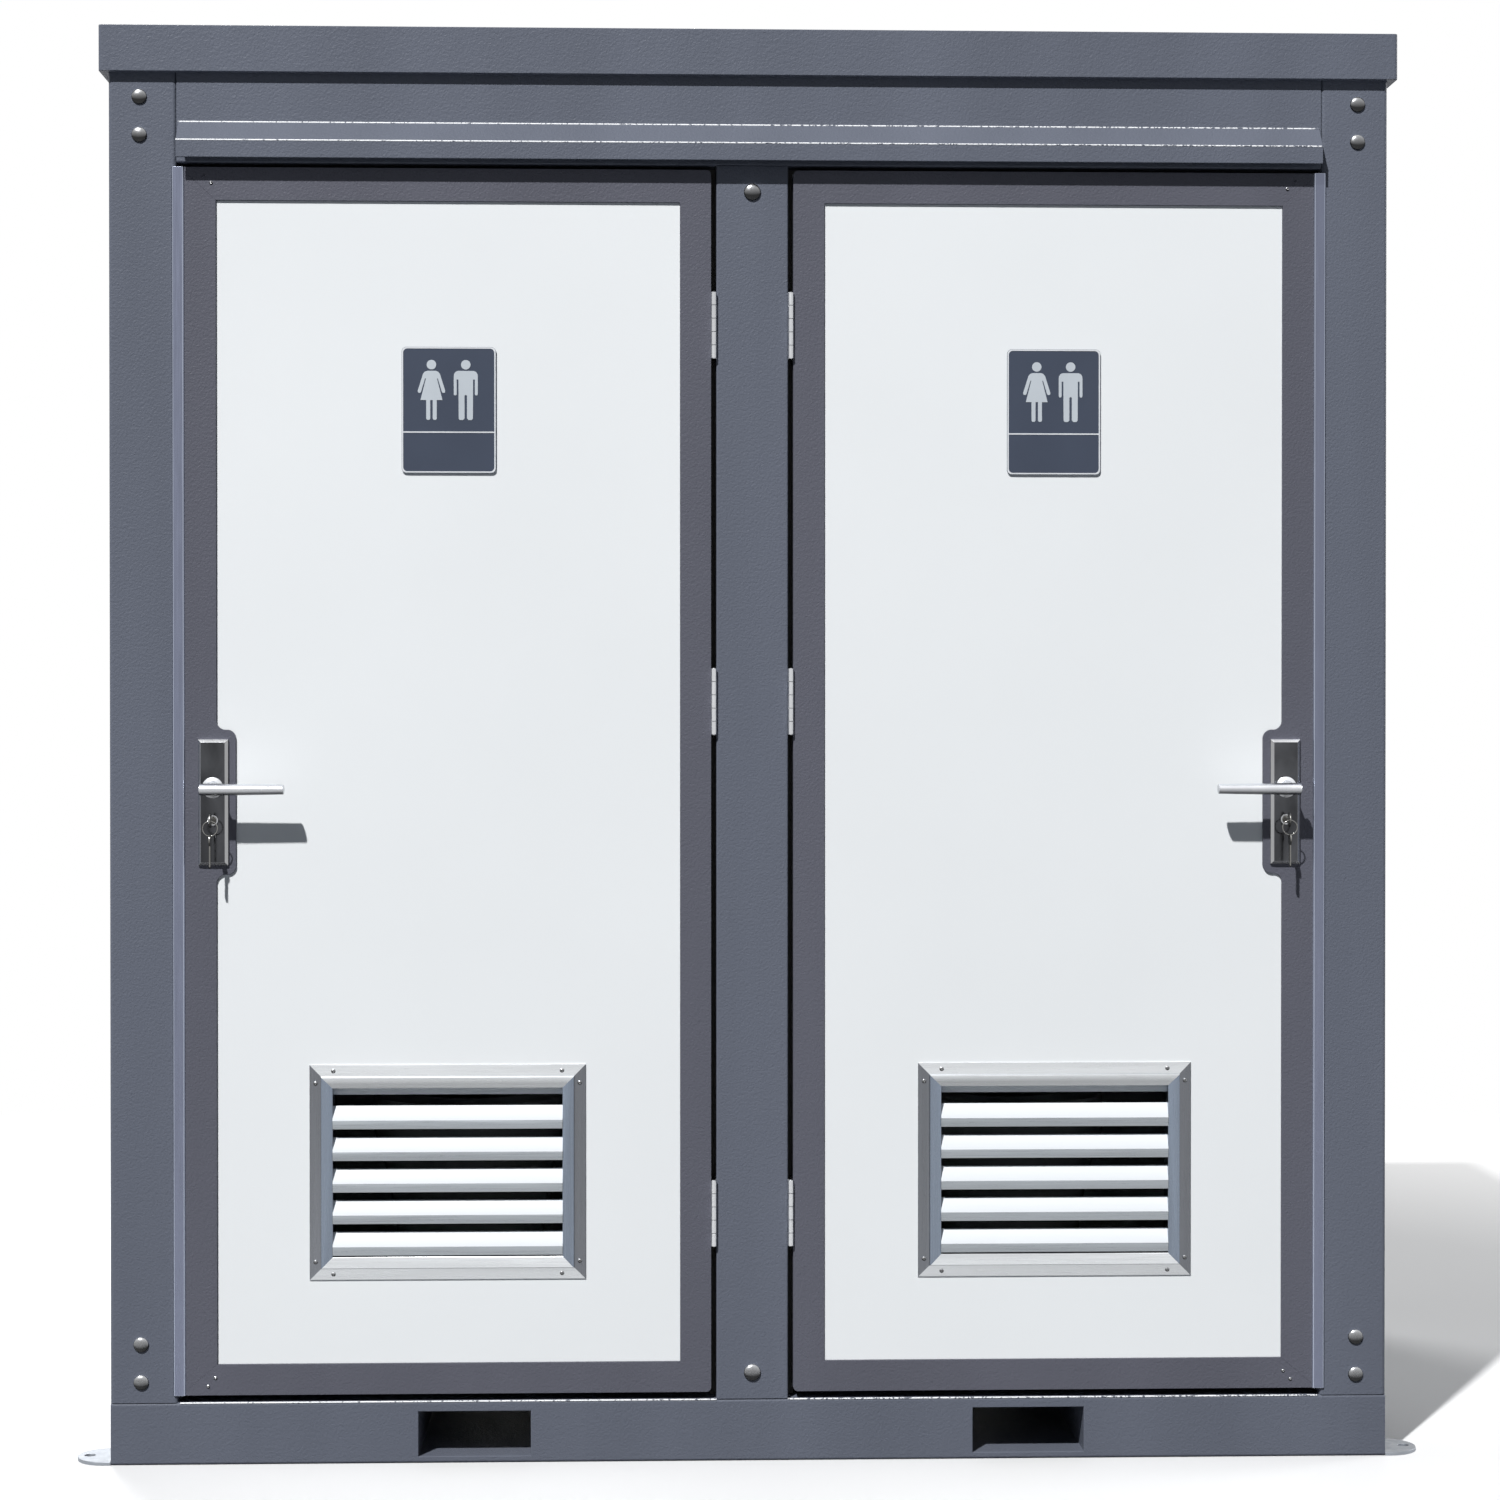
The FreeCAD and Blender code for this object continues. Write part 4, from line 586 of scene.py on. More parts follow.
def build_bolt_heads():
    bm = bmesh.new()
    middle = (cad_box[0] + cad_box[1]) / 2
    for low, high in island_boxes("frame_bolts"):
        size, centre = high - low, (low + high) / 2
        thin = min(range(3), key=lambda axis: size[axis])
        outwards = Vector((0, 0, 0))
        outwards[thin] = 1 if centre[thin] > middle[thin] else -1
        seat = centre - outwards * size[thin] / 2
        radius = max(size) / 2
        add_turned(bm, dome(radius, size[thin], BOLT_BRIM), seat, outwards, steps=40)
    return bm


add_piece("bolt_heads", build_bolt_heads(), "cabin", "bolt_steel", replaces=["frame_bolts"])

# %% [markdown]
# ## Lever handles
# A lever is a polished bar that leaves the plate, bends by ninety degrees and thins to its end.
# A ring of points is extruded along the neck, spun round the bend and drawn out to the tip, and
# its end is closed with a small dome. A short heel squares off the bend on its other side, and the
# grip is a little flatter than it is deep. The inner lever mirrors it across the door leaf.

# %% Bent and tapered levers
joints = {joint["name"]: joint for joint in frame["joints"]}
lever_axis = Vector(joints["right_lever_turn"]["pos_m"])
lever_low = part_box("right_levers")[0]
LEVER_RADIUS = 11.5 * MM
LEVER_BEND = 14 * MM
FLARE_RADIUS = 17.5 * MM
FLARE_BRIM = 2 * MM
FLARE_NARROWING = 0.98
FLARE_REACH = 6 * MM
HEEL_REACH = 15 * MM
HEEL_LENGTH = 26 * MM
HEEL_CHAMFER = 1 * MM
GRIP_FLATNESS = 0.84
TIP_FLATNESS = 0.87
GRIP_TAPER = 0.97
# The length of each step that rounds the tip, and the share of the width that it leaves
TIP_STEPS = [(1.1 * MM, 0.93), (0.4 * MM, 0.8)]
GRIP_DROP = 2 * MM


def step_out(bm, edges, move, scale=1.0, flatten=1.0):
    """Extrude an open ring, move it on and scale it about its own middle, also in height alone."""
    verts, edges = extrude_ring(bm, edges)
    bmesh.ops.translate(bm, vec=move, verts=verts)
    middle = sum((vert.co for vert in verts), Vector()) / len(verts)
    bmesh.ops.scale(bm, vec=(scale, scale, scale * flatten), verts=verts,
                    space=Matrix.Translation(-middle))
    return edges


def build_levers():
    bm = bmesh.new()
    plate_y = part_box("right_lock_plates")[0].y
    bar_y = lever_low.y + LEVER_RADIUS
    bmesh.ops.create_circle(bm, cap_ends=False, segments=40, radius=FLARE_RADIUS,
                            matrix=facing_front(lever_axis.x, plate_y, lever_axis.z))
    ring = step_out(bm, bm.edges[:], (0, -FLARE_BRIM, 0), FLARE_NARROWING)
    ring = step_out(bm, ring, (0, FLARE_BRIM - FLARE_REACH, 0),
                    LEVER_RADIUS / (FLARE_NARROWING * FLARE_RADIUS))
    straight = plate_y - FLARE_REACH - bar_y - LEVER_BEND
    ring = step_out(bm, ring, (0, -straight, 0))
    bend_centre = (lever_axis.x - LEVER_BEND, bar_y + LEVER_BEND, lever_axis.z)
    spun = bmesh.ops.spin(bm, geom=ring, cent=bend_centre, axis=(0, 0, 1), dvec=(0, 0, 0),
                          angle=-math.pi / 2, steps=12)
    ring = [item for item in spun["geom_last"] if isinstance(item, bmesh.types.BMEdge)]
    reach = lever_axis.x - LEVER_BEND - lever_low.x
    tip = sum(step for step, _ in TIP_STEPS)
    ring = step_out(bm, ring, (tip - reach, 0, 0), GRIP_TAPER, TIP_FLATNESS)
    for step, share in TIP_STEPS:
        ring = step_out(bm, ring, (-step, 0, 0), share)
    bmesh.ops.contextual_create(bm, geom=ring)
    heel = [(0, 0), (LEVER_RADIUS - HEEL_CHAMFER, 0), (LEVER_RADIUS, HEEL_CHAMFER),
            (LEVER_RADIUS, HEEL_LENGTH), (0, HEEL_LENGTH)]
    add_turned(bm, heel, (lever_axis.x + HEEL_REACH, bar_y, lever_axis.z), (-1, 0, 0), steps=40)
    grip = [vert for vert in bm.verts if vert.co.y < plate_y - FLARE_REACH - 1 * MM]
    bmesh.ops.scale(bm, vec=(1, 1, GRIP_FLATNESS), verts=grip, space=Matrix.Translation(-lever_axis))
    bmesh.ops.translate(bm, vec=(0, 0, -GRIP_DROP), verts=grip)
    add_mirrored(bm, "Y", level=lever_axis.y)
    return bm


add_to_each_side("lever_handles", build_levers, "lever", "polished_steel", replaces=["levers"],
                 crease=30)

# %% [markdown]
# ## Hinges
# Each door hangs on three butt hinges. From outside only the barrel shows: five knuckles that
# belong to the door and the post in turn, on one pin. The leaves behind them are screwed into the
# gap. Every knuckle is turned with a small chamfer at both ends, which draws the dark joints.

# %% Knuckles, leaves and pins
KNUCKLES = 5
KNUCKLE_RADIUS = 4.5 * MM
KNUCKLE_GAP = 0.5 * MM
LEAF_THICKNESS = 2.5 * MM
PIN_RADIUS = 2.6 * MM
PIN_RISE = 1 * MM
hinge_axis = Vector(joints["right_door_hinge"]["pos_m"])


def add_hinge_half(bm, low, high, first):
    """One leaf of a hinge with every second knuckle, counted from first."""
    length = (high.z - low.z - (KNUCKLES - 1) * KNUCKLE_GAP) / KNUCKLES
    on_door = low.x > hinge_axis.x - KNUCKLE_RADIUS and first == 0
    leaf_x = high.x - LEAF_THICKNESS if on_door else low.x
    leaf_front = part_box("centre_post")[0].y
    add_block(bm, (leaf_x, leaf_front, low.z), (leaf_x + LEAF_THICKNESS, high.y, high.z))
    for turn in range(first, KNUCKLES, 2):
        bottom = low.z + turn * (length + KNUCKLE_GAP)
        add_turned(bm, barrel(KNUCKLE_RADIUS, length), (hinge_axis.x, hinge_axis.y, bottom), (0, 0, 1))
        add_block(bm, (leaf_x, hinge_axis.y, bottom),
                  (leaf_x + LEAF_THICKNESS, leaf_front + 1 * MM, bottom + length))


def build_door_hinges():
    bm = bmesh.new()
    for low, high in island_boxes("right_hinge_leaves"):
        add_hinge_half(bm, low, high, 0)
        for z, towards in ((low.z, -1), (high.z, 1)):
            add_turned(bm, dome(PIN_RADIUS, PIN_RISE), (hinge_axis.x, hinge_axis.y, z), (0, 0, towards))
    return bm


def build_post_hinges():
    bm = bmesh.new()
    for low, high in island_boxes("post_hinge_leaves"):
        if low.x > 0:
            add_hinge_half(bm, low, high, 1)
    add_mirrored(bm, "X")
    return bm


add_to_each_side("hinge_barrels", build_door_hinges, "door", "hinge_steel",
                 replaces=["hinge_leaves"])
add_piece("post_hinge_barrels", build_post_hinges(), "cabin", "hinge_steel",
          replaces=["post_hinge_leaves"])

# %% [markdown]
# ## Louvres
# The louvre is an aluminium frame with mitred corners, screwed over a hole in the panel, and
# folded blades that slope outwards to shed rain. The frame's profile is a gently sloping flange,
# a ridge and a bevel that falls to the mouth. The blades' faces that look straight out take a
# whiter finish, a painted highlight for the sky that the aluminium reflects.

# %% The blades' finish and the louvres
# Painted highlight: a whiter copy for the blades, standing in for reflected sky.
coated_panel("blade_white", (0.8, 0.83, 0.86))
FLANGE = 20 * MM
MOUTH_INSET = 38 * MM
BLADE_SHEET = 1.6 * MM
BLADE_REACH = 14 * MM
BLADE_CLEARANCE = 3 * MM
# A sheet that slopes is thicker when it is measured upright
UPRIGHT_SHARE = 1.35
LEVEL_SCREW_INSET = 39 * MM
UPRIGHT_SCREW_INSET = 30 * MM
SCREW_SEAT = 3 * MM
RIDGE = 10 * MM
trim_profile = [(0, 0), (0, 1.6 * MM), (0.8 * MM, 2.4 * MM), (18.6 * MM, 4.2 * MM),
                (19.6 * MM, 9.2 * MM), (20.6 * MM, RIDGE), (22.6 * MM, RIDGE),
                (MOUTH_INSET - 1 * MM, 6.4 * MM), (MOUTH_INSET, 5.6 * MM), (MOUTH_INSET, -36 * MM),
                (FLANGE + 0.6 * MM, -36 * MM), (FLANGE + 0.6 * MM, 0)]


def add_screw(bm, place, towards, radius=3.8 * MM, finish=0):
    """A small round-head screw with a shallow drive recess."""
    profile = [(0, 0), (radius, 0), (radius, 0.5 * MM), (radius * 0.85, 1.5 * MM),
               (radius * 0.5, 2.1 * MM), (radius * 0.42, 2.0 * MM), (radius * 0.3, 1.2 * MM),
               (0, 1.2 * MM)]
    add_turned(bm, profile, place, towards, steps=16, finish=finish)


def add_louvre(bm, low, high, face_y, outwards):
    """A mitred frame on a panel face, with a screw near both ends of each of its sides."""
    centre = (low + high) / 2
    width, height = high.x - low.x, high.z - low.z
    place = facing_front(centre.x, face_y, centre.z)
    if outwards > 0:
        place = place @ Matrix.Rotation(math.pi, 4, "Y")
    before = set(bm.faces)
    add_frame(bm, width, height, trim_profile, place)
    for face in [face for face in bm.faces if face not in before]:
        reach = face.calc_center_median() - centre
        side_inset, level_inset = width / 2 - abs(reach.x), height / 2 - abs(reach.z)
        # Upright members take the darker copies of the aluminium, painted shade.
        if side_inset < level_inset:
            face.material_index = 2 if side_inset < FLANGE - 1 * MM else 3
    inset = FLANGE / 2
    for across in (-1, 1):
        for up in (-1, 1):
            for side_inset, level_inset in ((LEVEL_SCREW_INSET, inset), (inset, UPRIGHT_SCREW_INSET)):
                x = centre.x + across * (width / 2 - side_inset)
                z = centre.z + up * (height / 2 - level_inset)
                add_screw(bm, (x, face_y + outwards * SCREW_SEAT, z), (0, outwards, 0), finish=1)


def add_blades(bm, low, high, face_y, outwards, count, pitch, slope, lip, finish=0):
    """Folded blades: a roof that slopes out and down, and an upright lip at its edge."""
    half = (high.x - low.x) / 2 - MOUTH_INSET
    fold = RIDGE - 2 * MM
    back = fold - BLADE_REACH
    inner = fold - BLADE_SHEET
    bottom = low.z + MOUTH_INSET + BLADE_CLEARANCE
    turn = Matrix(((0, 0, 1, -half), (outwards, 0, 0, face_y), (0, 1, 0, 0), (0, 0, 0, 1)))
    place = Matrix.Translation(((low.x + high.x) / 2, 0, 0)) @ turn
    for index in range(count):
        z = bottom + index * pitch
        outline = [(back, z + lip + slope), (fold, z + lip), (fold, z), (inner, z),
                   (inner, z + lip - BLADE_SHEET),
                   (back, z + lip + slope - UPRIGHT_SHARE * BLADE_SHEET)]
        add_plate(bm, outline, 2 * half, place, finish)


# A fixed strip closes the top of the mouth behind the frame
HOOD_DEPTH = 9 * MM
HOOD_DROP = 12 * MM
door_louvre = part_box("right_louvre")
panel_face_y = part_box("right_door_panel")[0].y


def build_louvre_frame():
    bm = bmesh.new()
    add_louvre(bm, *door_louvre, panel_face_y, -1)
    return bm


def build_louvre_blades():
    bm = bmesh.new()
    low, high = door_louvre
    add_blades(bm, low, high, panel_face_y, -1, count=5, pitch=51.8 * MM, slope=23 * MM, lip=14 * MM)
    half = (high.x - low.x) / 2 - MOUTH_INSET
    hood = Vector(((low.x + high.x) / 2, panel_face_y + HOOD_DEPTH, high.z - MOUTH_INSET))
    add_block(bm, hood - Vector((half, 0, HOOD_DROP)), hood + Vector((half, BLADE_SHEET, 0)))
    # Faces that look straight out take the painted highlight.
    for face in bm.faces:
        in_front = face.calc_center_median().y < panel_face_y + HOOD_DEPTH / 2
        face.material_index = int(face.normal.y**2 > 0.9 and in_front)
    return bm


trim_finishes = ["vent_aluminium", "bolt_steel", "upright_aluminium", "upright_ridge"]
add_to_each_side("louvre_frame", build_louvre_frame, "door", "vent_aluminium", *trim_finishes,
                 replaces=["louvre"])
add_to_each_side("louvre_blades", build_louvre_blades, "door", "vent_aluminium", "blade_white",
                 "blade_lip", replaces=["louvre"])

# %% [markdown]
# ## Rear vents
# Each stall has a smaller vent of the same make high in the back wall. It is the same frame and
# the same kind of blade, turned to face backwards.

# %% Vents in the back wall
def build_rear_vents():
    bm = bmesh.new()
    boxes = island_boxes("rear_vents")
    wall_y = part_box("rear_wall_panel")[1].y
    for side in SIDES.values():
        low, high = box_round([corner for box in boxes if side * box[0].x > 0 for corner in box])
        add_louvre(bm, low, high, wall_y, 1)
        add_blades(bm, low, high, wall_y, 1, count=2, pitch=38 * MM, slope=20 * MM, lip=9 * MM,
                   finish=len(trim_finishes))
    return bm


add_piece("rear_vent_trims", build_rear_vents(), "cabin", "vent_aluminium", *trim_finishes,
          "blade_white", replaces=["rear_vents"])

# %% [markdown]
# ## Sign plates
# A slate plate with rounded corners carries a woman and a man as plain raised figures, as on
# toilet doors everywhere. A pale line runs round its edge and divides off the bare lower band.
# Each figure is half an outline, mirrored, with a disc for the head.

# %% Plates and figures
moulded("sign_figures", (0.54, 0.585, 0.63), 0.45, grain=1500)
moulded("sign_rim", (0.72, 0.74, 0.77), 0.4, grain=1500)
sign_low, sign_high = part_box("right_sign")
sign_middle = (sign_low + sign_high) / 2
SIGN_CORNER = 7.5 * MM
RIM_OUTER = 0.4 * MM
RIM_INSET = 2.6 * MM
FIGURE_DROP = 2.6 * MM
RAISE = 0.6 * MM
HEAD_RADIUS = 7.8 * MM
HEAD_RISE = 76.6 * MM
WOMAN_SHIFT = -28.2 * MM
MAN_SHIFT = 27.8 * MM
DIVIDER = (-37.4 * MM, -35.2 * MM)
# Half of each figure, in millimetres across from its own middle and up from the figures' level
woman = [(0, 66.5), (7, 66.5), (11, 65), (13.8, 61.5), (22.6, 33.6), (21.6, 30.8), (18.6, 30.2),
         (17, 32), (10.4, 54), (9, 54), (18, 18.7), (8.6, 18.7), (8.6, -11.5), (7.2, -13.6),
         (3.4, -13.6), (2, -11.5), (2, 18.7), (0, 18.7)]
man = [(0, 66.5), (13, 66.5), (17, 64.8), (19.2, 61.2), (19.6, 57), (19.6, 28.5), (18.6, 26.6),
       (15.8, 26.6), (14.8, 28.5), (14.8, 52.5), (12, 52.5), (11.6, -11), (9.8, -13.8), (4.4, -13.8),
       (2, -11), (2, 26), (0, 27.4)]


def build_sign():
    bm = bmesh.new()
    width, height = sign_high.x - sign_low.x, sign_high.z - sign_low.z
    middle = facing_front(sign_middle.x, sign_high.y, sign_middle.z)
    thickness = sign_high.y - sign_low.y
    add_plate(bm, rounded_outline(width, height, SIGN_CORNER), thickness - RAISE, middle)
    front = middle @ Matrix.Translation((0, 0, thickness - RAISE))
    rim = [(RIM_OUTER, 0), (RIM_OUTER, RAISE), (RIM_INSET, RAISE), (RIM_INSET, 0)]
    add_frame(bm, width, height, rim, front, corner=SIGN_CORNER - RIM_OUTER, finish=1)
    end = width / 2 - RIM_INSET
    bottom, top = DIVIDER
    divider = [(-end, bottom), (end, bottom), (end, top), (-end, top)]
    add_plate(bm, divider, RAISE, front, finish=1)
    return bm


def build_figures(mirror):
    """The woman stands on the left and the man on the right, on both doors."""
    bm = bmesh.new()
    middle_z = sign_middle.z - FIGURE_DROP
    front = facing_front(mirror * sign_middle.x, sign_low.y + RAISE, middle_z)
    for half, shift in ((woman, WOMAN_SHIFT), (man, MAN_SHIFT)):
        whole = half + [(-across, up) for across, up in reversed(half) if across]
        outline = [(shift + across * MM, up * MM) for across, up in whole]
        add_plate(bm, outline, RAISE, front)
        head = Vector((mirror * sign_middle.x + shift, sign_low.y + RAISE, middle_z + HEAD_RISE))
        add_turned(bm, drum(HEAD_RADIUS, RAISE), head, (0, -1, 0))
    return bm


add_to_each_side("sign_face", build_sign, "door", "sign_plate", "sign_plate", "sign_rim",
                 replaces=["sign"])
for side, mirror in SIDES.items():
    add_piece(f"{side}_sign_figures", build_figures(mirror), f"{side}_door", "sign_plate",
              "sign_figures")

# %% [markdown]
# ## Locks
# The lock's plate is a thick bar of stainless steel with a broad bevel. Its polished face has a
# dark, smoky colour, a painted reflection of dark surroundings, and the bevels beside it are
# bright, with a painted ground reflection where they face down. The cylinder is turned, with the
# plug's bore and rounded rims.

# %% Plates with painted reflection, and turned cylinders
# Painted reflection: a dark colour with smoky clouds stands in for the dark surroundings that the polished face
# mirrors.
def paint_dark_reflection(name, colour):
    finish = new_finish(name, colour, 0.12, metallic=1.0)
    clouds = add_noise(finish, 14, detail=5, stretch=(1, 1, 0.5), warp=0.8)
    vary_colour(finish, spread(finish, clouds, 0, 1), shade(colour, 0.55), shade(colour, 1.6))
    vary_roughness(finish, spread(finish, add_noise(finish, 90), 0.08, 0.2))


paint_dark_reflection("smoky_steel", (0.055, 0.057, 0.062))
for side in SIDES:
    soften(f"{side}_lock_plates", 0.35 * MM, finish="polished_bevel", front="smoky_steel")

PLUG_BORE = 6.25 * MM
BORE_DEPTH = 30.1 * MM
RIM = 0.7 * MM


def build_lock_case():
    """The case as CAD has it, and its cylinder turned anew."""
    bm = merged_copy("right_lock_case")
    case_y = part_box("right_lock_plates")[0].y
    turned = next(group for group in islands(bm) if min(vert.co.y for vert in group) < case_y)
    low, high = box_round([vert.co for vert in turned])
    bmesh.ops.delete(bm, geom=turned, context="VERTS")
    ease_edges(bm, 0.4 * MM)
    radius, length = (high.z - low.z) / 2, high.y - low.y
    profile = [(0, BORE_DEPTH), (PLUG_BORE, BORE_DEPTH), (PLUG_BORE, RIM / 2), (PLUG_BORE + RIM / 2, 0),
               (radius - RIM, 0), (radius, RIM), (radius, length - RIM), (radius - RIM, length),
               (0, length)]
    add_turned(bm, profile, ((low.x + high.x) / 2, low.y, (low.z + high.z) / 2), (0, 1, 0), steps=48)
    return bm


add_to_each_side("lock_body", build_lock_case, "door", "hinge_steel", replaces=["lock_case"])

# %% [markdown]
# ## Keys
# A key stays in the outer cylinder. Its bow is a stamped disc with a hole, edge-on to the eye,
# and its stem ends in the round plug. A wire ring through the hole carries a spare key, whose
# blade is notched along its lower edge.

# %% Keys, rings and spare keys
key_low, key_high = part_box("right_key")
# The spare key is thin from side to side, and the ring is wide
spare_box, ring_box = sorted(island_boxes("right_key_ring"), key=lambda box: box[1].x - box[0].x)
PLUG_RADIUS = 6 * MM
PLUG_LENGTH = 30 * MM
BOW_RADIUS = 12 * MM
SPARE_BOW_RADIUS = 10 * MM
BOW_THICKNESS = 2.2 * MM
BOW_HOLE_RADIUS = 2.6 * MM
BOW_HOLE_OFFSET = 6 * MM
STEM_HEIGHT = 6 * MM
SPARE_BLADE_HALF = 4 * MM
NOTCH_DEPTHS = (1.0 * MM, 2.2 * MM, 0.6 * MM, 1.8 * MM, 2.6 * MM, 1.2 * MM)
NOTCH_START = 5 * MM
NOTCH_PITCH = 4 * MM


def upright_plate(x, y, z):
    """The place of an outline drawn from front to back and upwards, centred on x."""
    turn = Matrix(((0, 0, 1, 0), (1, 0, 0, 0), (0, 1, 0, 0), (0, 0, 0, 1)))
    return Matrix.Translation((x - BOW_THICKNESS / 2, y, z)) @ turn


def build_key():
    bm = bmesh.new()
    bow_y = key_low.y + BOW_RADIUS
    middle_z = (key_low.z + key_high.z) / 2
    plug_y = key_high.y - PLUG_LENGTH
    half = STEM_HEIGHT / 2
    start = math.degrees(math.asin(half / BOW_RADIUS))
    stem_end = plug_y - bow_y + 1 * MM
    outline = [(stem_end, half)] + arc(0, 0, BOW_RADIUS, start, 360 - 2 * start, steps=48)
    outline.append((stem_end, -half))
    hole = circle(-BOW_HOLE_OFFSET, 0, BOW_HOLE_RADIUS, 24)
    add_plate(bm, outline, BOW_THICKNESS, upright_plate(lever_axis.x, bow_y, middle_z), holes=[hole])
    ease_edges(bm, 0.3 * MM)
    add_turned(bm, barrel(PLUG_RADIUS, PLUG_LENGTH), (lever_axis.x, plug_y, middle_z), (0, 1, 0),
               steps=40)
    return bm


def build_key_ring():
    bm = bmesh.new()
    low, high = ring_box
    wire = (high.y - low.y) / 2
    reach = (high.x - low.x) / 2 - wire
    middle = (low + high) / 2
    add_turned(bm, arc(reach, 0, wire, 0, 360), middle, (0, 1, 0), steps=64)
    low, high = spare_box
    bow_z = high.z - SPARE_BOW_RADIUS
    blade, tip = SPARE_BLADE_HALF, low.z - bow_z
    start = math.degrees(math.asin(blade / SPARE_BOW_RADIUS))
    notches = [(blade, tip + 3 * MM)]
    for step, depth in enumerate(NOTCH_DEPTHS):
        bottom = tip + NOTCH_START + step * NOTCH_PITCH
        notches += [(blade - depth, bottom), (blade, bottom + NOTCH_PITCH / 2)]
    outline = [(-blade, tip + 2 * MM), (-blade + 2 * MM, tip), (blade - 2 * MM, tip)] + notches
    outline += arc(0, 0, SPARE_BOW_RADIUS, start - 90, 360 - 2 * start, steps=40)
    hole = circle(0, BOW_HOLE_OFFSET, BOW_HOLE_RADIUS, 24)
    middle_y = (low.y + high.y) / 2
    add_plate(bm, outline, BOW_THICKNESS, upright_plate(lever_axis.x, middle_y, bow_z), holes=[hole])
    return bm


add_to_each_side("key_and_plug", build_key, "lock_key", "key_steel", replaces=["key"])
add_to_each_side("wire_ring", build_key_ring, "ring", "key_steel", replaces=["key_ring"])

# %% [markdown]
# ## Toilets
# The pan is glazed ceramic, cast with a foot that is narrower than its rim and with a bowl. Its
# outer wall is one ring that grows from the foot to the rim, and the bowl is an oval that shrinks
# downwards. The seat and the cistern keep CAD's shape with generously rounded edges.

# %% Pans, seats, cisterns and flush buttons
pan_low, pan_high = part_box("toilet_pans")
button_low, button_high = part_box("right_flush_button")
stall_x = (button_low.x + button_high.x) / 2
BOWL_MIDDLE = 240 * MM
FOOT_HALF = 132 * MM
# Height above the foot, and how far the wall has grown across and along by then
PAN_STEPS = [(8, 1.02, 1.01), (190, 1.05, 1.02), (290, 1.2, 1.06), (350, 1.33, 1.1), (388, 1.36, 1.11),
             (396, 1.352, 1.107), (400, 1.32, 1.095)]
# Depth below the rim, and the share of the opening that is left there
BOWL_STEPS = [(4, 0.97), (20, 0.94), (90, 0.84), (160, 0.62), (195, 0.42), (205, 0.3)]
BOWL_HALF = (132 * MM, 190 * MM)
# How far the bowl's middle moves back for each step down
BOWL_DRIFT = 0.15


def next_ring(bm, edges, pivot, stretch, rise):
    """Extrude a ring upwards or downwards and stretch it about a pivot."""
    verts, edges = extrude_ring(bm, edges)
    bmesh.ops.scale(bm, vec=(*stretch, 1), verts=verts, space=Matrix.Translation(-Vector(pivot)))
    bmesh.ops.translate(bm, vec=(0, 0, rise), verts=verts)
    return edges


def build_pans():
    bm = bmesh.new()
    widest = max(along for _, _, along in PAN_STEPS)
    near = pan_high.y - (pan_high.y - pan_low.y) / widest
    foot = [(stall_x + FOOT_HALF, pan_high.y), (stall_x - FOOT_HALF, pan_high.y)]
    foot += arc(stall_x, near + FOOT_HALF, FOOT_HALF, 180, 180, steps=32)
    ring = closed_ring(bm, [(x, y, pan_low.z) for x, y in foot])
    bmesh.ops.contextual_create(bm, geom=ring)
    pivot = (stall_x, pan_high.y, 0)
    across, along, height = 1, 1, 0
    for next_height, next_across, next_along in PAN_STEPS:
        ring = next_ring(bm, ring, pivot, (next_across / across, next_along / along),
                         (next_height - height) * MM)
        across, along, height = next_across, next_along, next_height
    middle_y = pan_low.y + BOWL_MIDDLE
    across, along = BOWL_HALF
    oval = [(stall_x + across * x, middle_y + along * y, pan_low.z + height * MM)
            for x, y in circle(0, 0, 1, 60)]
    bowl = closed_ring(bm, oval)
    bmesh.ops.triangle_fill(bm, use_beauty=True, use_dissolve=False, edges=ring + bowl)
    share, depth = 1, 0
    for next_depth, next_share in BOWL_STEPS:
        stretch = next_share / share
        bowl = next_ring(bm, bowl, (stall_x, middle_y + (next_depth - depth) * BOWL_DRIFT * MM, 0),
                         (stretch, stretch), (depth - next_depth) * MM)
        share, depth = next_share, next_depth
    bmesh.ops.contextual_create(bm, geom=bowl)
    add_mirrored(bm, "X")
    return bm


def build_flush_button():
    bm = bmesh.new()
    radius, height = (button_high.x - button_low.x) / 2, button_high.z - button_low.z
    profile = [(0, 0), (radius, 0), (radius, height - 1.5 * MM),
               (radius - 0.5 * MM, height - 0.5 * MM), (radius - 1.5 * MM, height),
               (radius - 3 * MM, height), (radius * 0.5, height - 1.2 * MM), (0, height - 1.6 * MM)]
    middle_y = (button_low.y + button_high.y) / 2
    add_turned(bm, profile, (stall_x, middle_y, button_low.z), (0, 0, 1), steps=48)
    return bm


add_piece("glazed_pans", build_pans(), "cabin", "sanitary_ceramic", replaces=["toilet_pans"],
          crease=50)
add_to_each_side("push_button", build_flush_button, "flush", "button_chrome",
                 replaces=["flush_button"])
soften("cisterns", 4 * MM)
for side in SIDES:
    soften(f"{side}_seat", 4 * MM)

# %% [markdown]
# ## Ceiling lights and pipes
# Each stall has a round opal lens on a square base. Behind each toilet a grey drain pipe and a
# brass water inlet come out through the back wall, each with a collar against the wall.

# %% Lights, drains and inlets
LENS_RADIUS = 108 * MM
LENS_BRIM = 8 * MM
LIGHT_BASE = 14 * MM
COLLAR = 6 * MM
DRAIN = ("drain_pipes", 55 * MM, 51.8 * MM, "drain_plastic")
INLET = ("water_inlets", 10.5 * MM, 7.5 * MM, "inlet_brass")
light_low, light_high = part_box("ceiling_lights")


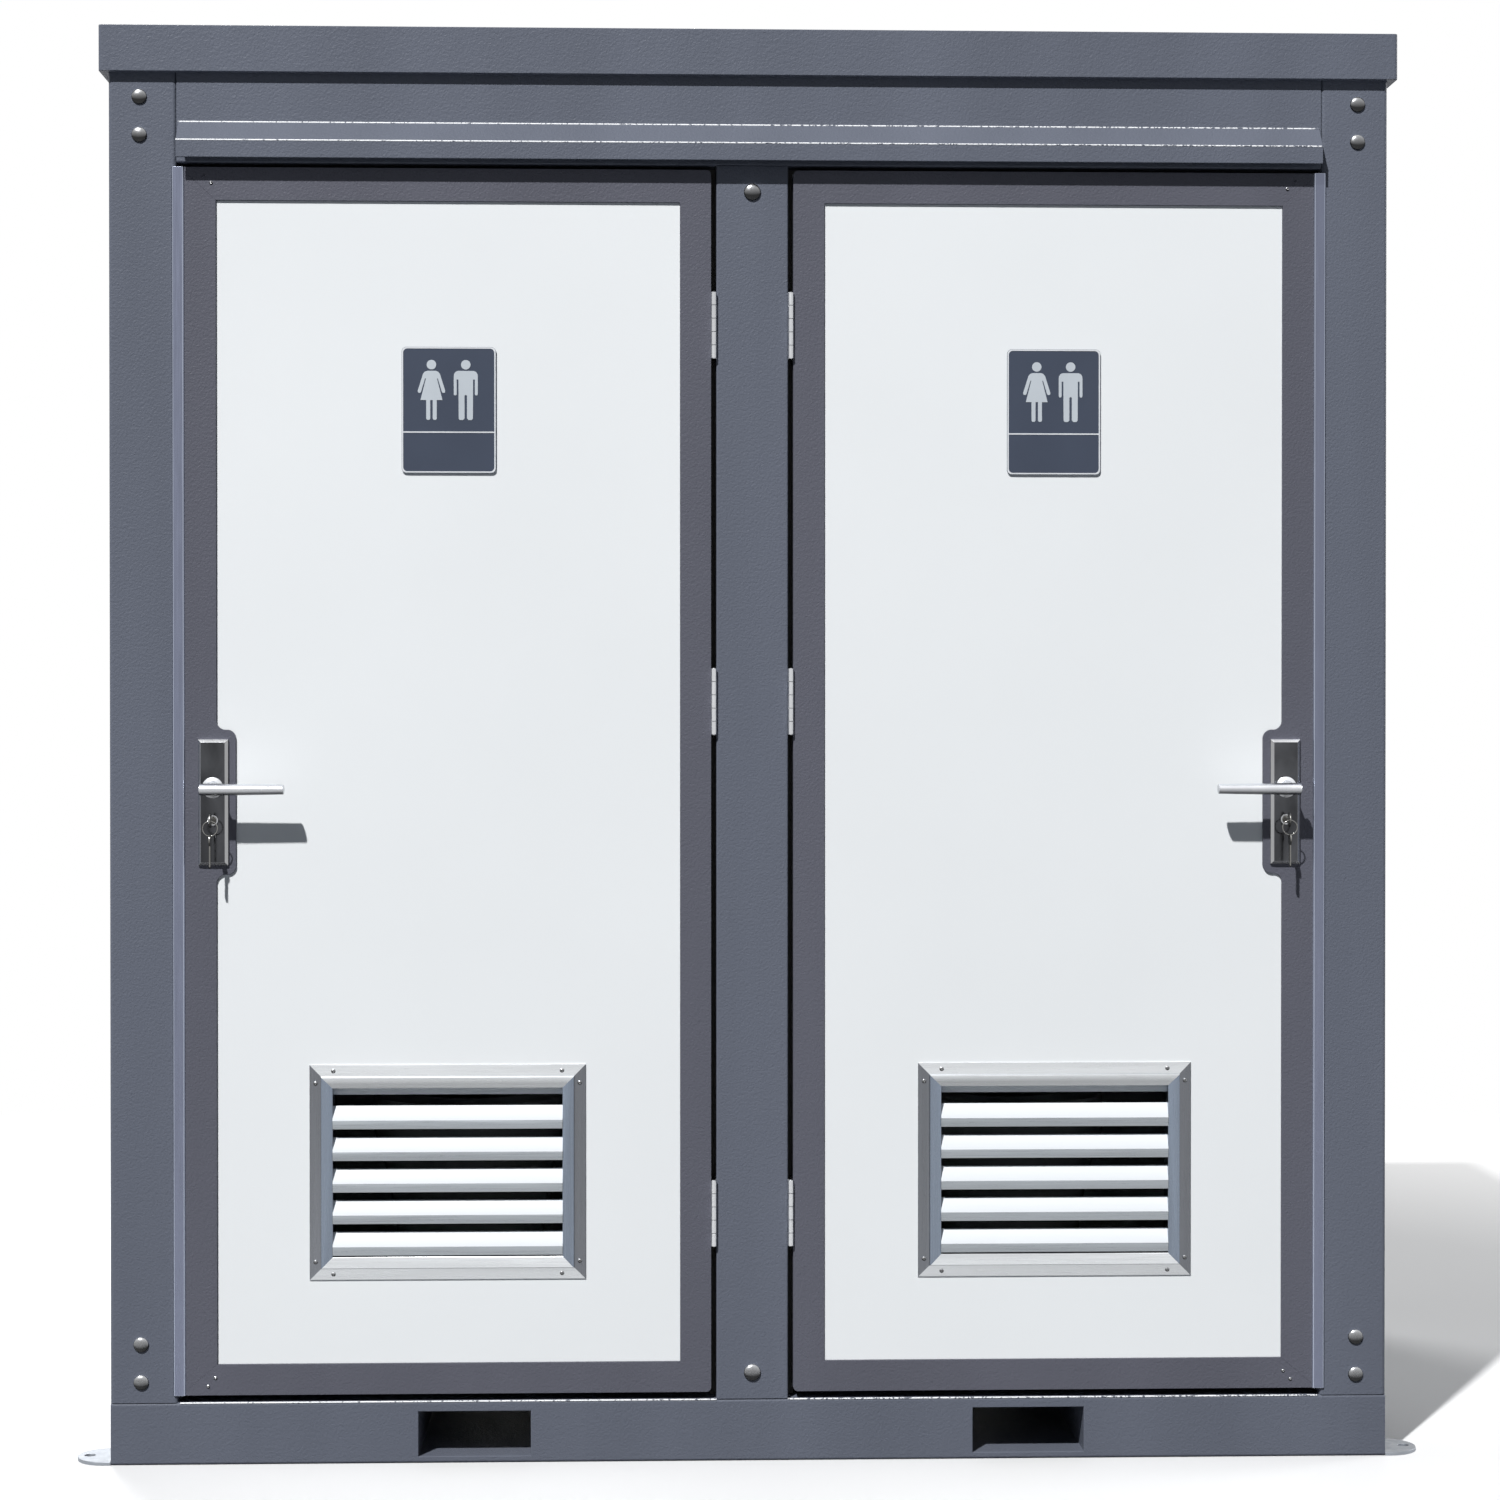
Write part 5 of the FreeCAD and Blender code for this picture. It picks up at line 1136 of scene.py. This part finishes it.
def build_lights():
    bm = bmesh.new()
    half = (light_high.y - light_low.y) / 2
    middle = Vector((stall_x, (light_low.y + light_high.y) / 2, light_high.z - LIGHT_BASE))
    add_block(bm, (stall_x - half, light_low.y, middle.z), (stall_x + half, light_high.y, light_high.z),
              ease=4 * MM)
    lens = dome(LENS_RADIUS, middle.z - light_low.z, LENS_BRIM, steps=14)
    add_turned(bm, lens, middle, (0, 0, -1), steps=64, finish=1)
    add_mirrored(bm, "X")
    return bm


def build_pipes(node, radius, bore):
    """Two pipe stubs, each with a collar on the outside of the back wall."""
    bm = bmesh.new()
    wall_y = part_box("rear_wall_panel")[1].y
    for low, high in island_boxes(node):
        length, out = high.y - low.y, wall_y - low.y
        collar = (high.x - low.x) / 2
        edge = min(1 * MM, (radius - bore) / 3)
        profile = [(bore, 0), (radius, 0), (radius, out), (collar, out), (collar, out + COLLAR - edge),
                   (collar - edge, out + COLLAR), (radius, out + COLLAR), (radius, length - edge),
                   (radius - edge, length), (bore, length), (bore, 0)]
        place = ((low.x + high.x) / 2, low.y, (low.z + high.z) / 2)
        add_turned(bm, profile, place, (0, 1, 0), steps=48)
    return bm


moulded("light_base", (0.8, 0.8, 0.79), 0.35)
add_piece("opal_lights", build_lights(), "cabin", "lamp_plastic", "light_base", "lamp_plastic",
          replaces=["ceiling_lights"])
for node, radius, bore, slot in (DRAIN, INLET):
    add_piece(f"round_{node}", build_pipes(node, radius, bore), "cabin", slot, replaces=[node])

# %% [markdown]
# ## Glint rods and mitre screws
# Along the folds of the drip rail and of the front beam lies a thin rounded rod in the frame's
# paint, which catches the light as a glint line. A second finish comes with them, with painted
# glints as bright specks, more of them towards the left. Two small screws hold each mitre of the
# door frame on its latch side, and some of them were painted over.

# %% Folds and screws
def rubbed_fold(name, coat, bare):
    """Paint with painted glints in bright specks, more of them towards the left."""
    finish = new_finish(name, coat, 0.4)
    link = finish.node_tree.links.new
    specks = add_noise(finish, 240, detail=4)
    where = add_node(finish, "ShaderNodeTexCoord")
    parts = add_node(finish, "ShaderNodeSeparateXYZ")
    link(where.outputs["Object"], parts.inputs["Vector"])
    added = add_node(finish, "ShaderNodeMath", operation="ADD")
    link(specks, added.inputs[0])
    link(spread(finish, parts.outputs["X"], 0.05, -0.05, start=-1.0, end=1.0), added.inputs[1])
    glinting = spread(finish, added.outputs["Value"], 0, 1, start=0.39, end=0.47)
    vary_colour(finish, glinting, coat, bare)


# Painted glint: near-white specks on the frame's slate.
rubbed_fold("rubbed_fold", slate, (0.95, 0.96, 0.98))
GLINT_ROD_RADIUS = 1.5 * MM
drip_low, drip_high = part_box("drip_rail")
beam_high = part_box("base_front_beam")[1]
frame_face_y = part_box("header_beam")[0].y
door_face_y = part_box("right_door_frame")[0].y
DRIP_FOLD_RISE = 28 * MM
# Place across and up in millimetres, and whether the screw's paint has come off
MITRE_SCREWS = [(883.5, 2096, 1), (896.4, 2107, 0), (879, 142.8, 1), (891, 129, 1)]


def add_glint_rod(bm, start_x, end_x, y, z):
    add_turned(bm, drum(GLINT_ROD_RADIUS, end_x - start_x), (start_x, y, z), (1, 0, 0), steps=12)


def build_glint_rods():
    bm = bmesh.new()
    left, right, post_x = drip_low.x, drip_high.x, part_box("centre_post")[1].x
    half = GLINT_ROD_RADIUS / 2
    add_glint_rod(bm, left, right, drip_low.y + half, drip_low.z + DRIP_FOLD_RISE)
    add_glint_rod(bm, left, right, frame_face_y, drip_high.z - half)
    for start_x, end_x in ((left, -post_x), (post_x, right)):
        add_glint_rod(bm, start_x, end_x, frame_face_y + half, beam_high.z - half)
    return bm


def build_mitre_screws():
    bm = bmesh.new()
    for x, z, bare in MITRE_SCREWS:
        place = (x * MM, door_face_y + 0.2 * MM, z * MM)
        add_screw(bm, place, (0, -1, 0), radius=3 * MM, finish=bare)
    return bm


add_piece("rubbed_folds", build_glint_rods(), "cabin", "frame_paint", "rubbed_fold")
add_to_each_side("mitre_screws", build_mitre_screws, "door", "bolt_steel", "door_paint",
                 "bolt_steel")

# %% [markdown]
# ## The rest of the sheet steel, tubes and panels
# What is left keeps the shape that CAD gave it, with an eased copy for each solid. Folded sheet
# and tube get the widest ease, and small steel parts and seals a narrow one. The lugs are bare
# zinc, because boots and straps have rubbed their paint off.

# %% Eased copies of the CAD solids
metal("bare_zinc", (0.3, 0.32, 0.35), 0.35, 0.6, scale=90, depth=0.05 * MM)
soften("anchor_lugs", 0.8 * MM, finish="bare_zinc")
EASES = {1.0 * MM: ["base_front_beam", "base_rear_beam", "base_side_beams", "fork_pockets",
                    "floor_joists", "header_beam", "top_rails", "drip_rail", "roof_cap",
                    "centre_post", "corner_posts"],
         0.5 * MM: ["side_wall_panels", "rear_wall_panel", "partition_panel", "ceiling_panel",
                    "strike_plates", "door_seals", "floor_panel", "seat_hinge_posts"]}
for side in SIDES:
    EASES[0.5 * MM] += [f"{side}_{node}" for node in ("door_frame", "latch_stile", "door_panel",
                                                      "latch_bolt", "deadbolt")]
    # The strip's eased edges take the painted highlight.
    soften(f"{side}_edge_strip", 0.8 * MM, edge="strip_edge")
for width, nodes in EASES.items():
    for node in nodes:
        soften(node, width)

# %% [markdown]
# ## Floor
# The cabin stands on a plain pale floor that fades to white around it. Shown as pale as it is, the
# floor would throw so much light upwards that the undersides lost their shade, so the light that
# it spreads comes from a darker colour than the one that is seen.

# %% Pale floor
# In metres from the middle of the cabin
FLOOR_REACH = 30
FLOOR_NEAR = 2.2
FLOOR_FAR = 4.5
PALE = (0.85, 0.85, 0.85)
SPREAD = (0.045, 0.055, 0.07)


def seen_directly(tree):
    """One for what the camera sees, also in metal or through glass, and nought for spread light."""
    path = tree.nodes.new("ShaderNodeLightPath")
    value = path.outputs["Is Camera Ray"]
    for kind in ("Is Glossy Ray", "Is Transmission Ray"):
        either = tree.nodes.new("ShaderNodeMath")
        either.operation = "MAXIMUM"
        tree.links.new(value, either.inputs[0])
        tree.links.new(path.outputs[kind], either.inputs[1])
        value = either.outputs["Value"]
    return value


def pale_when_seen(finish, spread_colour, seen_colour):
    """The floor fades to white away from the cabin, and spreads less light than it shows."""
    link = finish.node_tree.links.new
    seen = seen_directly(finish.node_tree)
    vary_colour(finish, seen, spread_colour, seen_colour)
    where = add_node(finish, "ShaderNodeTexCoord")
    distance = add_node(finish, "ShaderNodeVectorMath", operation="LENGTH")
    link(where.outputs["Object"], distance.inputs[0])
    faded = spread(finish, distance.outputs["Value"], 0, 1, start=FLOOR_NEAR, end=FLOOR_FAR)
    share = add_node(finish, "ShaderNodeMath", operation="MULTIPLY")
    link(faded, share.inputs[0])
    link(seen, share.inputs[1])
    glow = add_node(finish, "ShaderNodeEmission")
    mix = add_node(finish, "ShaderNodeMixShader")
    link(share.outputs["Value"], mix.inputs["Fac"])
    link(finish.node_tree.nodes["Principled BSDF"].outputs["BSDF"], mix.inputs[1])
    link(glow.outputs["Emission"], mix.inputs[2])
    link(mix.outputs["Shader"], finish.node_tree.nodes["Material Output"].inputs["Surface"])


floor_finish = new_finish("pale_floor", PALE, 0.6)
pale_when_seen(floor_finish, SPREAD, PALE)
bm = bmesh.new()
bmesh.ops.create_grid(bm, x_segments=1, y_segments=1, size=FLOOR_REACH)
floor_mesh = bpy.data.meshes.new("studio_floor")
bm.to_mesh(floor_mesh)
bm.free()
floor_mesh.materials.append(floor_finish)
floor = bpy.data.objects.new("studio_floor", floor_mesh)
bpy.context.scene.collection.objects.link(floor)

# %% [markdown]
# ## World and lamps
# In the photograph one small, strong light from the left, above the camera, draws crisp shadows,
# and the sky fills them with a faint blue. The key lamp stands far away, so that the top and the
# foot of the cabin are lit alike. Two weak lamps stand behind the front, so that they reach the
# flanks, the back and the roof only.

# %% White surround, faint sky and three lamps
scene = bpy.context.scene
world = bpy.data.worlds.new("studio")
world.use_nodes = True
scene.world = world
sky = world.node_tree
soft = sky.nodes["Background"]
soft.inputs["Color"].default_value = (0.7, 0.82, 1.0, 1)
soft.inputs["Strength"].default_value = 0.05
white = sky.nodes.new("ShaderNodeBackground")
white.inputs["Color"].default_value = (1, 1, 1, 1)
white.inputs["Strength"].default_value = 1.0
mix = sky.nodes.new("ShaderNodeMixShader")
sky.links.new(seen_directly(sky), mix.inputs["Fac"])
sky.links.new(soft.outputs["Background"], mix.inputs[1])
sky.links.new(white.outputs["Background"], mix.inputs[2])
sky.links.new(mix.outputs["Shader"], sky.nodes["World Output"].inputs["Surface"])


def add_lamp(name, place, aim, size, power):
    data = bpy.data.lights.new(name, "AREA")
    data.shape = "DISK"
    data.size = size
    data.energy = power
    lamp = bpy.data.objects.new(name, data)
    scene.collection.objects.link(lamp)
    lamp.location = place
    lamp.rotation_euler = (Vector(aim) - Vector(place)).to_track_quat("-Z", "Y").to_euler()


middle = (cad_box[0] + cad_box[1]) / 2
add_lamp("key", (-12.0, -25.3, 31.6), middle, size=1.0, power=22000)
add_lamp("side", (6.5, 2.0, 3.0), middle, size=3.0, power=150)
add_lamp("back", (-3.0, 6.5, 6.0), middle, size=3.0, power=350)

# %% [markdown]
# ## Camera
# The camera is the one that fits the photograph's straight edges: about chest height, nearly six
# metres from the cabin's middle and slightly to the left, turned a little to the right.

# %% Camera at the photograph's place
CAMERA_PLACE = (-0.172, -5.718, 1.212)
CAMERA_TURN = (90 - 0.471, 0.0, -1.902)
LENS = 74.05
camera_data = bpy.data.cameras.new("camera")
camera_data.lens = LENS
camera_data.sensor_width = 36
camera = bpy.data.objects.new("camera", camera_data)
scene.collection.objects.link(camera)
camera.location = CAMERA_PLACE
camera.rotation_euler = [math.radians(turn) for turn in CAMERA_TURN]
scene.camera = camera
scene.view_settings.view_transform = "Standard"
